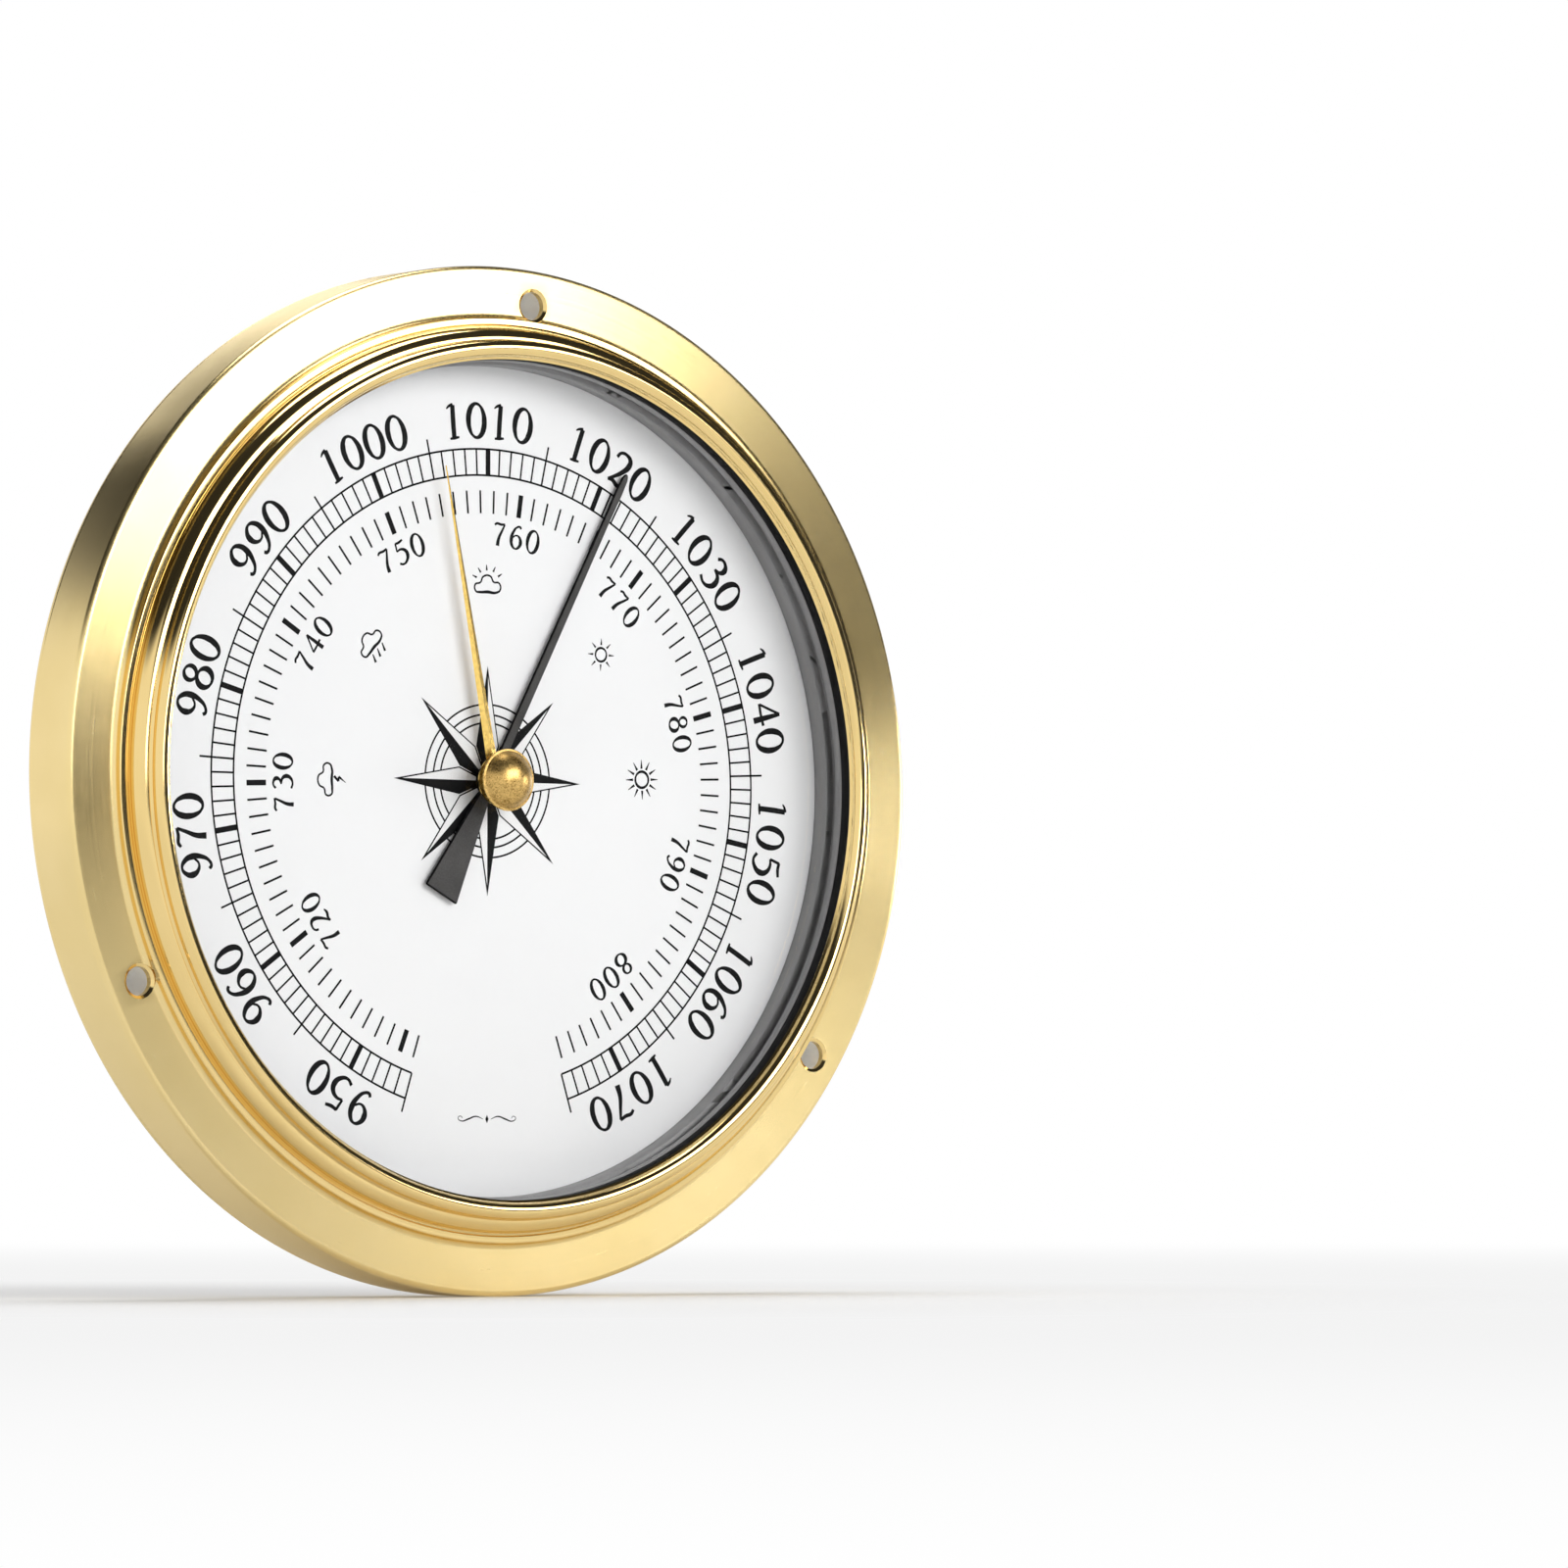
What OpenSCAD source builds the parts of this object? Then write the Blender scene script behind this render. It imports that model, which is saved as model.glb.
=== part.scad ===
// Marine barometer with a brass case for three screws, a set hand and an aneroid movement.
// Modelled in millimetres. The front faces -Y and +Z is up. The origin is the centre of the
// bolt circle on the rear flange face. Pieces are drawn looking at the front: x to the right,
// y up and z forward from the mounting plane, and front() stands them up.

/* [Case] */
// Diameter of the glass, from which every ring grows outward
glass_d = 119.8; // [112:0.2:128]
// Depth from the rear flange face to the front flange face
ring_depth = 11; // [10.5:0.1:14]
// Thickness of the flange sheets
sheet_t = 1.2; // [0.8:0.1:1.5]
// Thickness of the side skirt
skirt_t = 1.2; // [0.8:0.1:1.4]
// Width of the flat flange outside the ridge
flange_w = 7.4; // [7:0.1:12]
// Height of the bead above its flange face
bead_rise = 5.7; // [5.2:0.1:6.6]
// Width of the beads, from the sleeve to the outer ridge
ridge_w = 3.7; // [3.6:0.1:5]
// Wall of the sleeve that holds the glass stack
sleeve_t = 1.3; // [1:0.1:1.8]
// Width of the lip that holds the glass stack in
lip_w = 1.1; // [0.7:0.1:1.1]
// Thickness of the lip
lip_t = 1.6; // [1.3:0.1:2.2]
// Rounding of the front outer edge
front_round = 0.8; // [0.3:0.1:1.2]
// Rounding of the rear outer edge
rear_round = 1.6; // [0.8:0.1:2]

/* [Mounting holes] */
// Radius of the three mounting holes
hole_r = 2; // [1.5:0.1:2.2]
// Width of the chamfer round each mounting hole
hole_chamfer = 0.45; // [0.1:0.05:0.6]
// Depth of the chamfer round each mounting hole
chamfer_depth = 0.3; // [0.1:0.05:0.5]
// Distance from the ridge to the centre of each hole
hole_inset = 2.35; // [2.3:0.05:2.8]
// Turn of the holes from twelve o'clock, clockwise from the front
hole_turn = 4.5; // [-30:0.5:30]
// Wall of the spacer sleeves round the holes
ferrule_wall = 0.9; // [0.5:0.1:1]

/* [Glass stack] */
// Thickness of the rubber gasket
gasket_t = 1.8; // [1.2:0.1:2.2]
// Thickness of the grey retainer ring
retainer_t = 1.4; // [0.8:0.1:2]
// Width of the grey retainer ring
retainer_w = 1.15; // [0.8:0.05:1.5]
// Thickness of the glass
glass_t = 1.5; // [1.2:0.1:2]
// Height of the grey wall between glass and dial
surround_h = 2.9; // [2.8:0.1:4]
// Width of the grey wall
surround_w = 1.45; // [1:0.05:2]
// Thickness of the dial plate
dial_t = 0.5; // [0.3:0.1:1]
// Radius of the hole in the dial
dial_hole_r = 3; // [1.5:0.1:4]
// Width of the rim that seats the ring behind the dial
ring_rim_w = 2.9; // [2:0.1:4]
// Width of the rounded ring behind the dial
case_ring_w = 6.5; // [5:0.1:8]
// Depth of the rounded ring behind the dial
case_ring_t = 4.1; // [3:0.1:5]

/* [Hands] */
// Length of the black hand from its centre to its tip
pointer_len = 50.5; // [40:0.5:52]
// Length of the counterweight tail
tail_len = 18.3; // [12:0.5:24]
// Width of the black hand at the hub
pointer_w = 1.7; // [1:0.1:2.4]
// Width of the counterweight at its end
tail_w = 6; // [3:0.1:9]
// Thickness of the black hand
pointer_t = 0.5; // [0.3:0.05:0.6]
// Height of the black hand above the dial
pointer_lift = 0.6; // [0.4:0.05:0.7]
// Reading of the black hand, in degrees clockwise from the top
pointer_clock = 28.2; // [-160:0.1:160]
// Length of the set hand
set_len = 44.9; // [30:0.5:52]
// Width of the set hand at its hub
set_w = 1.3; // [0.8:0.1:2]
// Thickness of the set hand
set_t = 0.3; // [0.2:0.05:0.4]
// Place of the set hand, in degrees clockwise from the top
set_clock = -11; // [-180:0.5:180]
// Radius of the brass knob
knob_r = 4.4; // [3.6:0.1:6]
// Height of the knob's dome
knob_h = 2.3; // [1.6:0.1:3.5]
// Thickness of the knob's rim
knob_rim = 0.5; // [0.3:0.1:0.9]
// Radius of the set hand's shaft
set_arbor_r = 1.5; // [1.2:0.1:1.8]

/* [Back] */
// Length of the black drum behind its carrier plate
drum_len = 17; // [16.8:0.1:19]
// Outer radius of the drum
drum_r = 39.6; // [38.6:0.1:41]
// Wall of the drum
drum_wall = 1.5; // [1:0.1:1.8]
// Radius of the drum's foot on the carrier plate
foot_r = 41.2; // [41.2:0.1:44]
// Thickness of the grained cover
cover_t = 1; // [0.8:0.1:1.4]
// Width of the black roll round the cover
roll_w = 1.3; // [1:0.1:1.6]
// Thickness of the carrier plate
carrier_t = 1.05; // [0.8:0.05:1.1]
// Turn of the drum and its cover, clockwise from the front
cover_turn = 24.5; // [-30:0.5:60]
// Radius of the keyhole's round end
key_r = 4.9; // [3.5:0.1:5]
// Half width of the keyhole's slot
key_slot_r = 2.3; // [1.5:0.1:3]
// Distance of the keyhole's round end from the drum's outside
key_inset = 12.5; // [11.6:0.1:14]
// Length of the keyhole's slot
key_len = 5.1; // [3:0.1:6]
// Radius of the hole over the adjusting screw
access_r = 4.4; // [3.2:0.1:6]
// Radius of the two pinholes
pinhole_r = 0.8; // [0.5:0.1:1.2]
// Distance of the pinholes from the drum's outside
pinhole_inset = 8.2; // [6:0.1:10]

/* [Movement] */
// Teeth of the pinion on the pointer arbor
pinion_teeth = 12; // [10:1:14]
// Teeth that the sector would have as a whole wheel
sector_teeth = 150; // [140:1:156]
// Gear module, the pitch diameter for each tooth
gear_module = 0.2; // [0.19:0.005:0.21]
// Radius of the arbors
arbor_r = 0.6; // [0.5:0.05:0.7]
// Running clearance round each turning shaft
run_gap = 0.04; // [0.02:0.01:0.06]
// Radius of the aneroid capsule
capsule_r = 20; // [17:0.1:20]
// Thickness of the aneroid capsule
capsule_t = 3.7; // [3.4:0.1:3.9]
// Throw of the lever arm that the capsule lifts
arm_throw = 4; // [3.4:0.1:4.4]
// Throw of the crank and of the sector's tail
crank_throw = 4.8; // [4.6:0.1:5]
// Distance of the main pillars from the drum's outside
pillar_inset = 9.6; // [8.6:0.1:11.6]
// Radius of the pillars
pillar_r = 2; // [1.4:0.1:2.2]

/* [Hidden] */
$fn = 72;
fit = 0.05;
twelve_o_clock = 90;

// Radii of the rings, from the glass outward
bore_r = glass_d / 2 + 0.2;
stack_r = bore_r - fit;
sleeve_r = bore_r + sleeve_t;
ridge_r = sleeve_r + ridge_w;
flange_r = ridge_r + flange_w;
skirt_in_r = flange_r - skirt_t;
lip_r = bore_r - lip_w;
retainer_in_r = stack_r - retainer_w;
surround_in_r = stack_r - surround_w;
low_bead_r = 1.95;
low_bead_x = ridge_r - 3.4;
high_bead_r = 1.2;
high_bead_x = ridge_r - 4.6;
bead_in_r = high_bead_x - high_bead_r;
lip_edge = 0.2;
bolt_r = ridge_r + hole_inset;
hole_angles = [for (i = [0:2]) twelve_o_clock - hole_turn - 120 * i];
ferrule_r = hole_r + ferrule_wall;

// Levels in front of the mounting plane
face_z = ring_depth;
lip_z = face_z + bead_rise - lip_t;
gasket_z = lip_z - gasket_t;
glass_top = gasket_z - retainer_t;
glass_bottom = glass_top - glass_t;
dial_top = glass_bottom - surround_h;
dial_bottom = dial_top - dial_t;
carrier_z = dial_bottom - carrier_t;
drum_end = carrier_z - drum_len;
cover_in_z = drum_end + cover_t;
skirt_end = rear_round + 0.15;
spigot_len = 2.3;
spigot_w = 0.6;

// The ring behind the dial, and the plate in it
ring_rim_in_r = stack_r - ring_rim_w;
ring_in_r = ring_rim_in_r - case_ring_w;
ring_rim_end = sheet_t + 2 * fit;
carrier_gap = 0.3;
carrier_r = ring_in_r - carrier_gap;
clip_angles = [180, 257, 38];
clip_slot_w = 6;
clip_slot_t = 1.5;
clip_stem_w = 2.2;
clip_reach = 3.2;

// The back cover's holes
key_dist = drum_r - key_inset;
pinhole_dist = drum_r - pinhole_inset;
pinhole_angles = [-22, 158];
mark_angles = [-45, 135];
mark_dist = drum_r - 10;

// Hands
pointer_z = dial_top + pointer_lift;
set_drop = 1.1;
set_z = glass_bottom - set_drop;
bush_wall = 1;
bush_r = set_arbor_r + run_gap + bush_wall;
glass_hole_r = bush_r + fit;
bush_flange_t = 0.3;
bush_flange_r = bush_r + bush_wall;
set_hub_r = set_arbor_r + 1;
washer_t = 0.15;
washer_z = glass_top + fit;
knob_z = washer_z + washer_t + fit;
pointer_bush_r = arbor_r + 0.5;
pointer_top = pointer_z + pointer_t + 0.1;

// Movement levels, counted back from the carrier plate
plate_t = 1.2;
front_plate_z = carrier_z - plate_t;
gear_drop = 2.45;
gear_z = front_plate_z - gear_drop;
gear_t = 0.8;
gear_gap = 0.65;
bridge_t = 1;
bridge_top = gear_z - gear_gap;
bridge_z = bridge_top - bridge_t;
shaft_drop = 1.75;
shaft_z = bridge_z - shaft_drop;
shaft_r = 0.6;
stud_gap = 0.65;
stud_top = shaft_z - stud_gap;
crown_drop = 2.15;
capsule_top = shaft_z - crown_drop;
capsule_bottom = capsule_top - capsule_t;
capsule_mid = capsule_top - capsule_t / 2;
boss_r = 3.4;
boss_t = 0.55;
base_top = capsule_bottom - boss_t;
base_t = 1;
base_bottom = base_top - base_t;
adjuster_r = 1.5;

// Gear train: the sector turns the pinion
pinion_r = pinion_teeth * gear_module / 2;
sector_r = sector_teeth * gear_module / 2;
tooth_root = gear_module * 1.1;
sector_x = -(pinion_r + sector_r);
sector_half_a = 21;
tail_x = sector_x - crank_throw;
link_z = gear_z + gear_t + gear_gap;
crank_len = link_z - shaft_z;
shaft_y = arm_throw;
shaft_left = tail_x - 3.4;
shaft_right = 4.4;
pivot_r = 0.4;
pin_r = 0.35;
open_gap = 0.3;
eye_wall = 0.4;
eye_t = 0.6;
eye_x = tail_x - 0.4;
crank_t = 0.6;
crank_x = eye_x - eye_t / 2 - 0.1;

// Pillars and screws
pillar_dist = drum_r - pillar_inset;
pillar_foot_r = pillar_r + 1.3;
pillar_angles = [20, 140, 260];
front_plate_r = pillar_dist + 3;
base_hub_r = 11;
base_arm_w = 6;
tenon_share = 0.6;
bridge_bar_w = 5;
bridge_right_x = 9;
bridge_arm_y = 9;
bridge_left_x = tail_x - 7;
bridge_pillar_r = 1.4;
bridge_posts = [[bridge_right_x, bridge_arm_y], [bridge_right_x, -bridge_arm_y], [bridge_left_x, 0]];
screw_angles = [80, 200, 320];
screw_dist = 24;
screw_r = 1;
screw_head_r = 1.8;
screw_head_t = 0.65;
screw_depth = 2.5;
slot_w = 0.5;
bracket_w = 1.4;
bracket_y = 3;
bracket_wall = 0.4;
rocker_hub_r = 0.9;

// Hairspring
hair_turns = 4;
hair_in_r = 1.05;
hair_out_r = 4.6;
hair_w = 0.12;
hair_z = front_plate_z - 1.2;
hair_h = 0.4;
hair_stud_r = 0.5;
hair_over = 0.1;

// Colours as the photograph shows them
BRASS = [0.83, 0.66, 0.32];
GILT = [0.8, 0.62, 0.25];
STEEL = [0.62, 0.63, 0.65];
GREY = [0.45, 0.46, 0.47];
BLACK = [0.06, 0.06, 0.07];
NYLON = [0.86, 0.86, 0.85];

// Helpers

// Stands a piece up, so that its z axis points forward
module front() {
  rotate([90, 0, 0]) children();
}

// A round disc between two levels
module disc(r, from_z, to_z) {
  translate([0, 0, from_z]) cylinder(r = r, h = to_z - from_z);
}

// A round tube between two levels
module tube(r_out, r_in, from_z, to_z) {
  difference() {
    disc(r_out, from_z, to_z);
    disc(r_in, from_z - 1, to_z + 1);
  }
}

// Places children at a distance from the centre at each angle
module around(angles, dist) {
  for (a = angles) rotate(a) translate([dist, 0, 0]) children();
}

// Points along an arc
function arc(centre, r, from_a, to_a, steps = 8) =
  [for (i = [0:steps]) centre + r * [cos(from_a + (to_a - from_a) * i / steps),
                                     sin(from_a + (to_a - from_a) * i / steps)]];

// Outline of the fillet, the ridge, the groove and the two beads, from the flange inward:
// radius and rise above the flange face
function bead_line() = let (
    fillet = 0.9,
    ridge_h = bead_rise * 0.237,
    ridge_edge = 0.25,
    ridge_top_w = 0.95,
    groove_h = bead_rise * 0.193,
    groove_from = 1.15,
    groove_to = 1.4
  ) concat(
    arc([ridge_r + fillet, fillet], fillet, 270, 180, 5),
    arc([ridge_r - ridge_edge, ridge_h - ridge_edge], ridge_edge, 0, 90, 3),
    [[ridge_r - ridge_top_w, ridge_h], [ridge_r - groove_from, groove_h],
     [ridge_r - groove_to, groove_h]],
    arc([low_bead_x, bead_rise * 0.3], low_bead_r, -10, 85, 8),
    arc([high_bead_x, bead_rise - high_bead_r], high_bead_r, -20, 180, 12)
  );

// Case

// The front bead line, with rise turned into level
function front_line() = [for (p = bead_line()) [p[0], face_z + p[1]]];

// The rear bead line, which stands behind the mounting plane
function rear_line() = [for (p = bead_line()) [p[0], -p[1]]];

// The holes that run through both flanges, each flared out where it meets one face
module flange_holes(face) {
  flare_r = hole_r + hole_chamfer;
  around(hole_angles, bolt_r) {
    disc(hole_r, -bead_rise, face_z + bead_rise);
    translate([0, 0, face]) mirror([0, 0, face > 0 ? 0 : 1]) {
      translate([0, 0, -chamfer_depth]) cylinder(r1 = hole_r, r2 = flare_r, h = chamfer_depth);
      cylinder(r = flare_r, h = 1);
    }
  }
}

module front_bezel() {
  outline = concat(
    arc([flange_r - front_round, face_z - front_round], front_round, 0, 90, 5),
    front_line(),
    [[lip_r, lip_z + lip_edge], [lip_r, lip_z], [bore_r, lip_z], [bore_r, sheet_t], [sleeve_r, sheet_t],
     [sleeve_r, face_z - sheet_t], [skirt_in_r, face_z - sheet_t], [skirt_in_r, skirt_end],
     [flange_r, skirt_end]]
  );
  color(BRASS) front() difference() {
    rotate_extrude($fn = 144) polygon(outline);
    flange_holes(face_z);
  }
}

module rear_ring() {
  line = rear_line();
  spigot_r = skirt_in_r - fit;
  outline = concat(
    [[flange_r, skirt_end], [spigot_r, skirt_end], [spigot_r, sheet_t + spigot_len],
     [spigot_r - spigot_w, sheet_t + spigot_len], [spigot_r - spigot_w, sheet_t], [bead_in_r, sheet_t]],
    [for (i = [len(line) - 1:-1:0]) line[i]],
    arc([flange_r - rear_round, rear_round], rear_round, -90, 0, 6)
  );
  color(BRASS) front() difference() {
    rotate_extrude($fn = 144) polygon(outline);
    flange_holes(0);
  }
}

module screw_ferrules() {
  color(NYLON) front() around(hole_angles, bolt_r)
    tube(ferrule_r, hole_r, sheet_t, face_z - sheet_t);
}

module case_ring() {
  ring_mid = (ring_in_r + ring_rim_in_r) / 2;
  half_w = (ring_rim_in_r - ring_in_r) / 2;
  edge = 0.8;
  depth = case_ring_t - edge;
  outline = concat(
    [[ring_in_r, dial_bottom], [ring_in_r, dial_bottom - edge]],
    [for (i = [1:11]) [ring_mid - half_w * cos(180 * i / 12),
                       dial_bottom - edge - depth * sin(180 * i / 12)]],
    [[ring_rim_in_r, dial_bottom - edge], [ring_rim_in_r, ring_rim_end + 1.2],
     [ring_rim_in_r + 1.6, ring_rim_end], [stack_r, ring_rim_end], [stack_r, dial_bottom]]
  );
  color(BRASS) front() rotate_extrude($fn = 144) polygon(outline);
}

// Glass stack

module glass_gasket() {
  color(BLACK) front() tube(stack_r, lip_r, gasket_z, lip_z);
}

module glass_retainer() {
  color(GREY) front() tube(stack_r, retainer_in_r, glass_top, gasket_z);
}

module glass() {
  color([0.85, 0.93, 0.95, 0.3]) front() tube(glass_d / 2, glass_hole_r, glass_bottom, glass_top);
}

module dial_surround() {
  color(GREY) front() tube(stack_r, surround_in_r, dial_top, glass_bottom);
}

module dial() {
  color([0.95, 0.95, 0.94]) front() tube(stack_r, dial_hole_r, dial_bottom, dial_top);
}

// Set hand

module set_knob() {
  dome_z = knob_z + knob_rim;
  dome_r = knob_r - 0.35;
  ball_r = (dome_r * dome_r + knob_h * knob_h) / (2 * knob_h);
  ball_z = dome_z + knob_h - ball_r;
  edge_a = asin((dome_z - ball_z) / ball_r);
  outline = concat(
    [[set_arbor_r, knob_z], [knob_r, knob_z], [knob_r, dome_z]],
    arc([0, ball_z], ball_r, edge_a, 84, 9),
    [[0, dome_z + knob_h], [0, dome_z], [set_arbor_r, dome_z]]
  );
  color(GILT) front() rotate_extrude() polygon(outline);
}

module set_arbor() {
  color(GILT) front() {
    disc(set_arbor_r, set_z - 0.1, knob_z + knob_rim);
  }
}

module glass_bush() {
  color(GILT) front() difference() {
    union() {
      disc(bush_r, glass_bottom - bush_flange_t, glass_top);
      disc(bush_flange_r, glass_bottom - bush_flange_t, glass_bottom);
    }
    disc(set_arbor_r + run_gap, glass_bottom - 2, glass_top + 1);
  }
}

module friction_washer() {
  color(STEEL) front() tube(knob_r - 0.5, bush_r + 0.1, washer_z, washer_z + washer_t);
}

// A hand that tapers from one width to another, pointing up
module taper(from_y, from_w, to_y, to_w) {
  polygon([[-from_w / 2, from_y], [from_w / 2, from_y], [to_w / 2, to_y], [-to_w / 2, to_y]]);
}

module set_pointer() {
  color(GILT) front() rotate(-set_clock) translate([0, 0, set_z]) linear_extrude(set_t)
    difference() {
      union() {
        circle(r = set_hub_r);
        taper(0, set_w * 1.5, set_len, 0.25);
      }
      circle(r = set_arbor_r);
    }
}

// Indicator hand and its arbor

module indicator_pointer() {
  hub_r = pointer_w * 1.45;
  color(BLACK) front() rotate(-pointer_clock) translate([0, 0, pointer_z]) linear_extrude(pointer_t)
    difference() {
      union() {
        circle(r = hub_r);
        taper(0, pointer_w, pointer_len, 0.35);
        rotate(180) taper(0, pointer_w, tail_len, tail_w);
      }
      circle(r = pointer_bush_r);
    }
}

module pointer_bush() {
  color(BRASS) front() tube(pointer_bush_r, arbor_r, dial_top + 0.2, pointer_top);
}

module pointer_arbor() {
  color(STEEL) front() disc(arbor_r, bridge_z, pointer_top);
}

// Teeth of a gear at each listed angle, as narrow tapered teeth on their root circle
module gear_teeth(pitch_r, angles) {
  tip_r = pitch_r + gear_module * 0.75;
  root_r = pitch_r - tooth_root;
  sunk_r = root_r - gear_module * 0.75;
  root_half = gear_module * 0.62;
  tip_half = gear_module * 0.26;
  for (a = angles) rotate(a)
    polygon([[sunk_r, -root_half], [root_r, -root_half], [tip_r, -tip_half],
             [tip_r, tip_half], [root_r, root_half], [sunk_r, root_half]]);
}

module pinion() {
  root_r = pinion_r - tooth_root;
  overlap = 0.2;
  pitch_a = 360 / pinion_teeth;
  color(BRASS) front() translate([0, 0, gear_z - overlap]) linear_extrude(gear_t + 2 * overlap)
    difference() {
      union() {
        circle(r = root_r);
        gear_teeth(pinion_r, [for (i = [0:pinion_teeth - 1]) 180 + pitch_a * (i + 0.5)]);
      }
      circle(r = arbor_r);
    }
}

// One point of the hairspring's strip, at a turn and on one side of its middle
function hair_point(turn, side) = let (
    r = hair_in_r + (hair_out_r - hair_in_r) * turn / hair_turns + side * hair_w / 2
  ) [r * cos(360 * turn), r * sin(360 * turn)];

module hairspring() {
  steps = 24 * hair_turns;
  inner = [for (i = [0:steps]) hair_point(i * hair_turns / steps, -1)];
  outer = [for (i = [steps:-1:0]) hair_point(i * hair_turns / steps, 1)];
  color(STEEL) front() translate([0, 0, hair_z]) linear_extrude(hair_h) polygon(concat(inner, outer));
}

module hairspring_collet() {
  color(BRASS) front()
    tube(hair_in_r - hair_w / 2, arbor_r, hair_z - hair_over, hair_z + hair_h + hair_over);
}

module hairspring_stud() {
  color(BRASS) front() translate([hair_out_r + hair_w / 2 + hair_stud_r, 0, 0])
    disc(hair_stud_r, hair_z - hair_over, front_plate_z);
}

// Carrier plate and drum

// A slot with a cross bar at its inner end, drawn along x near the carrier's edge
module clip_slot() {
  from_x = carrier_r - clip_reach;
  translate([from_x, -clip_slot_w / 2]) square([clip_slot_t, clip_slot_w]);
  translate([from_x, -clip_stem_w / 2]) square([clip_reach + 1, clip_stem_w]);
}

module carrier_plate() {
  color(BLACK) front() difference() {
    translate([0, 0, carrier_z]) linear_extrude(carrier_t) difference() {
      circle(r = carrier_r);
      circle(r = arbor_r + 1);
      for (a = clip_angles) rotate(a) clip_slot();
      around(screw_angles, screw_dist) circle(r = screw_r);
    }
    around(screw_angles, screw_dist)
      disc(screw_head_r + 0.1, dial_bottom - screw_head_t, dial_bottom + 1);
  }
}

// Spring tabs that hook through the slots and press on the ring round the plate
module carrier_clips() {
  tab_w = clip_stem_w - 0.3;
  tab_t = 0.5;
  hook = 0.6;
  top_z = dial_bottom - 0.2;
  in_x = carrier_r - clip_reach + 0.3;
  out_x = ring_in_r - fit;
  color(STEEL) front() for (a = clip_angles) rotate(a) translate([0, -tab_w / 2, 0]) {
    translate([in_x, 0, carrier_z - tab_t - hook]) cube([tab_t, tab_w, top_z - carrier_z + tab_t + hook]);
    translate([in_x, 0, carrier_z - tab_t]) cube([out_x - in_x, tab_w, tab_t]);
    translate([out_x - tab_t, 0, carrier_z - tab_t]) cube([tab_t, tab_w, top_z - carrier_z + tab_t]);
  }
}

module carrier_screws() {
  color(STEEL) front() around(screw_angles, screw_dist) difference() {
    union() {
      disc(screw_head_r, dial_bottom - screw_head_t, dial_bottom - 0.05);
      disc(screw_r, front_plate_z + 0.2, dial_bottom - screw_head_t);
    }
    translate([-screw_head_r, -slot_w / 2, dial_bottom - 0.3])
      cube([2 * screw_head_r, slot_w, 1]);
  }
}

module movement_drum() {
  inner_r = drum_r - drum_wall;
  seat_r = drum_r - roll_w;
  foot_t = 0.6;
  flare = 1.6;
  outline = concat(
    [[inner_r, carrier_z], [foot_r, carrier_z], [foot_r, carrier_z - foot_t]],
    [[drum_r, carrier_z - foot_t - flare]],
    arc([drum_r - roll_w / 2, drum_end + roll_w / 2], roll_w / 2, 0, -180, 8),
    [[seat_r, cover_in_z], [inner_r, cover_in_z]]
  );
  ledge = 0.8;
  color(BLACK) front() {
    rotate_extrude($fn = 120) polygon(outline);
    tube(inner_r + 0.1, inner_r - ledge, cover_in_z, cover_in_z + ledge);
  }
}

// The keyhole, drawn pointing up from the centre
module keyhole() {
  translate([0, key_dist]) circle(r = key_r);
  translate([-key_slot_r, key_dist]) square([2 * key_slot_r, key_len]);
  translate([0, key_dist + key_len]) circle(r = key_slot_r);
}

module back_cover() {
  seat_r = drum_r - roll_w - fit;
  outer_z = drum_end + fit;
  mark_r = 4;
  mark_w = 0.25;
  mark_depth = 0.15;
  color(GREY) front() difference() {
    translate([0, 0, outer_z]) linear_extrude(cover_in_z - outer_z) difference() {
      circle(r = seat_r);
      circle(r = access_r);
      rotate(-cover_turn) {
        keyhole();
        for (a = pinhole_angles) rotate(a) translate([0, pinhole_dist]) circle(r = pinhole_r);
      }
    }
    for (a = mark_angles) rotate(a - cover_turn) translate([0, mark_dist, 0])
      tube(mark_r, mark_r - mark_w, drum_end - 1, outer_z + mark_depth);
  }
}

// Movement frame

module front_plate() {
  color(BRASS) front() translate([0, 0, front_plate_z]) linear_extrude(plate_t) difference() {
    circle(r = front_plate_r);
    circle(r = arbor_r + run_gap);
    translate([sector_x, 0]) circle(r = arbor_r + run_gap);
    around(screw_angles, screw_dist) circle(r = screw_r);
    around(pillar_angles, pillar_dist) circle(r = pillar_r * tenon_share);
  }
}

module base_plate() {
  color(BRASS) front() translate([0, 0, base_bottom]) linear_extrude(base_t) difference() {
    union() {
      circle(r = base_hub_r);
      for (a = pillar_angles) rotate(a) translate([0, -base_arm_w / 2])
        square([pillar_dist, base_arm_w]);
      around(pillar_angles, pillar_dist) circle(r = pillar_foot_r);
    }
    circle(r = adjuster_r + run_gap);
    around(pillar_angles, pillar_dist) circle(r = screw_r);
  }
}

module plate_pillars() {
  color(BRASS) front() around(pillar_angles, pillar_dist) difference() {
    union() {
      disc(pillar_r, base_top, front_plate_z);
      disc(pillar_r * tenon_share, front_plate_z - 0.5, front_plate_z + plate_t);
    }
    disc(screw_r, base_top - 1, base_top + screw_depth + 0.5);
  }
}

module base_screws() {
  head_t = 0.9;
  color(STEEL) front() around(pillar_angles, pillar_dist) difference() {
    union() {
      disc(screw_head_r, base_bottom - head_t, base_bottom);
      disc(screw_r, base_bottom - 0.1, base_top + screw_depth);
    }
    translate([-screw_head_r, -slot_w / 2, base_bottom - 1.5 * head_t])
      cube([2 * screw_head_r, slot_w, head_t]);
  }
}

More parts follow.
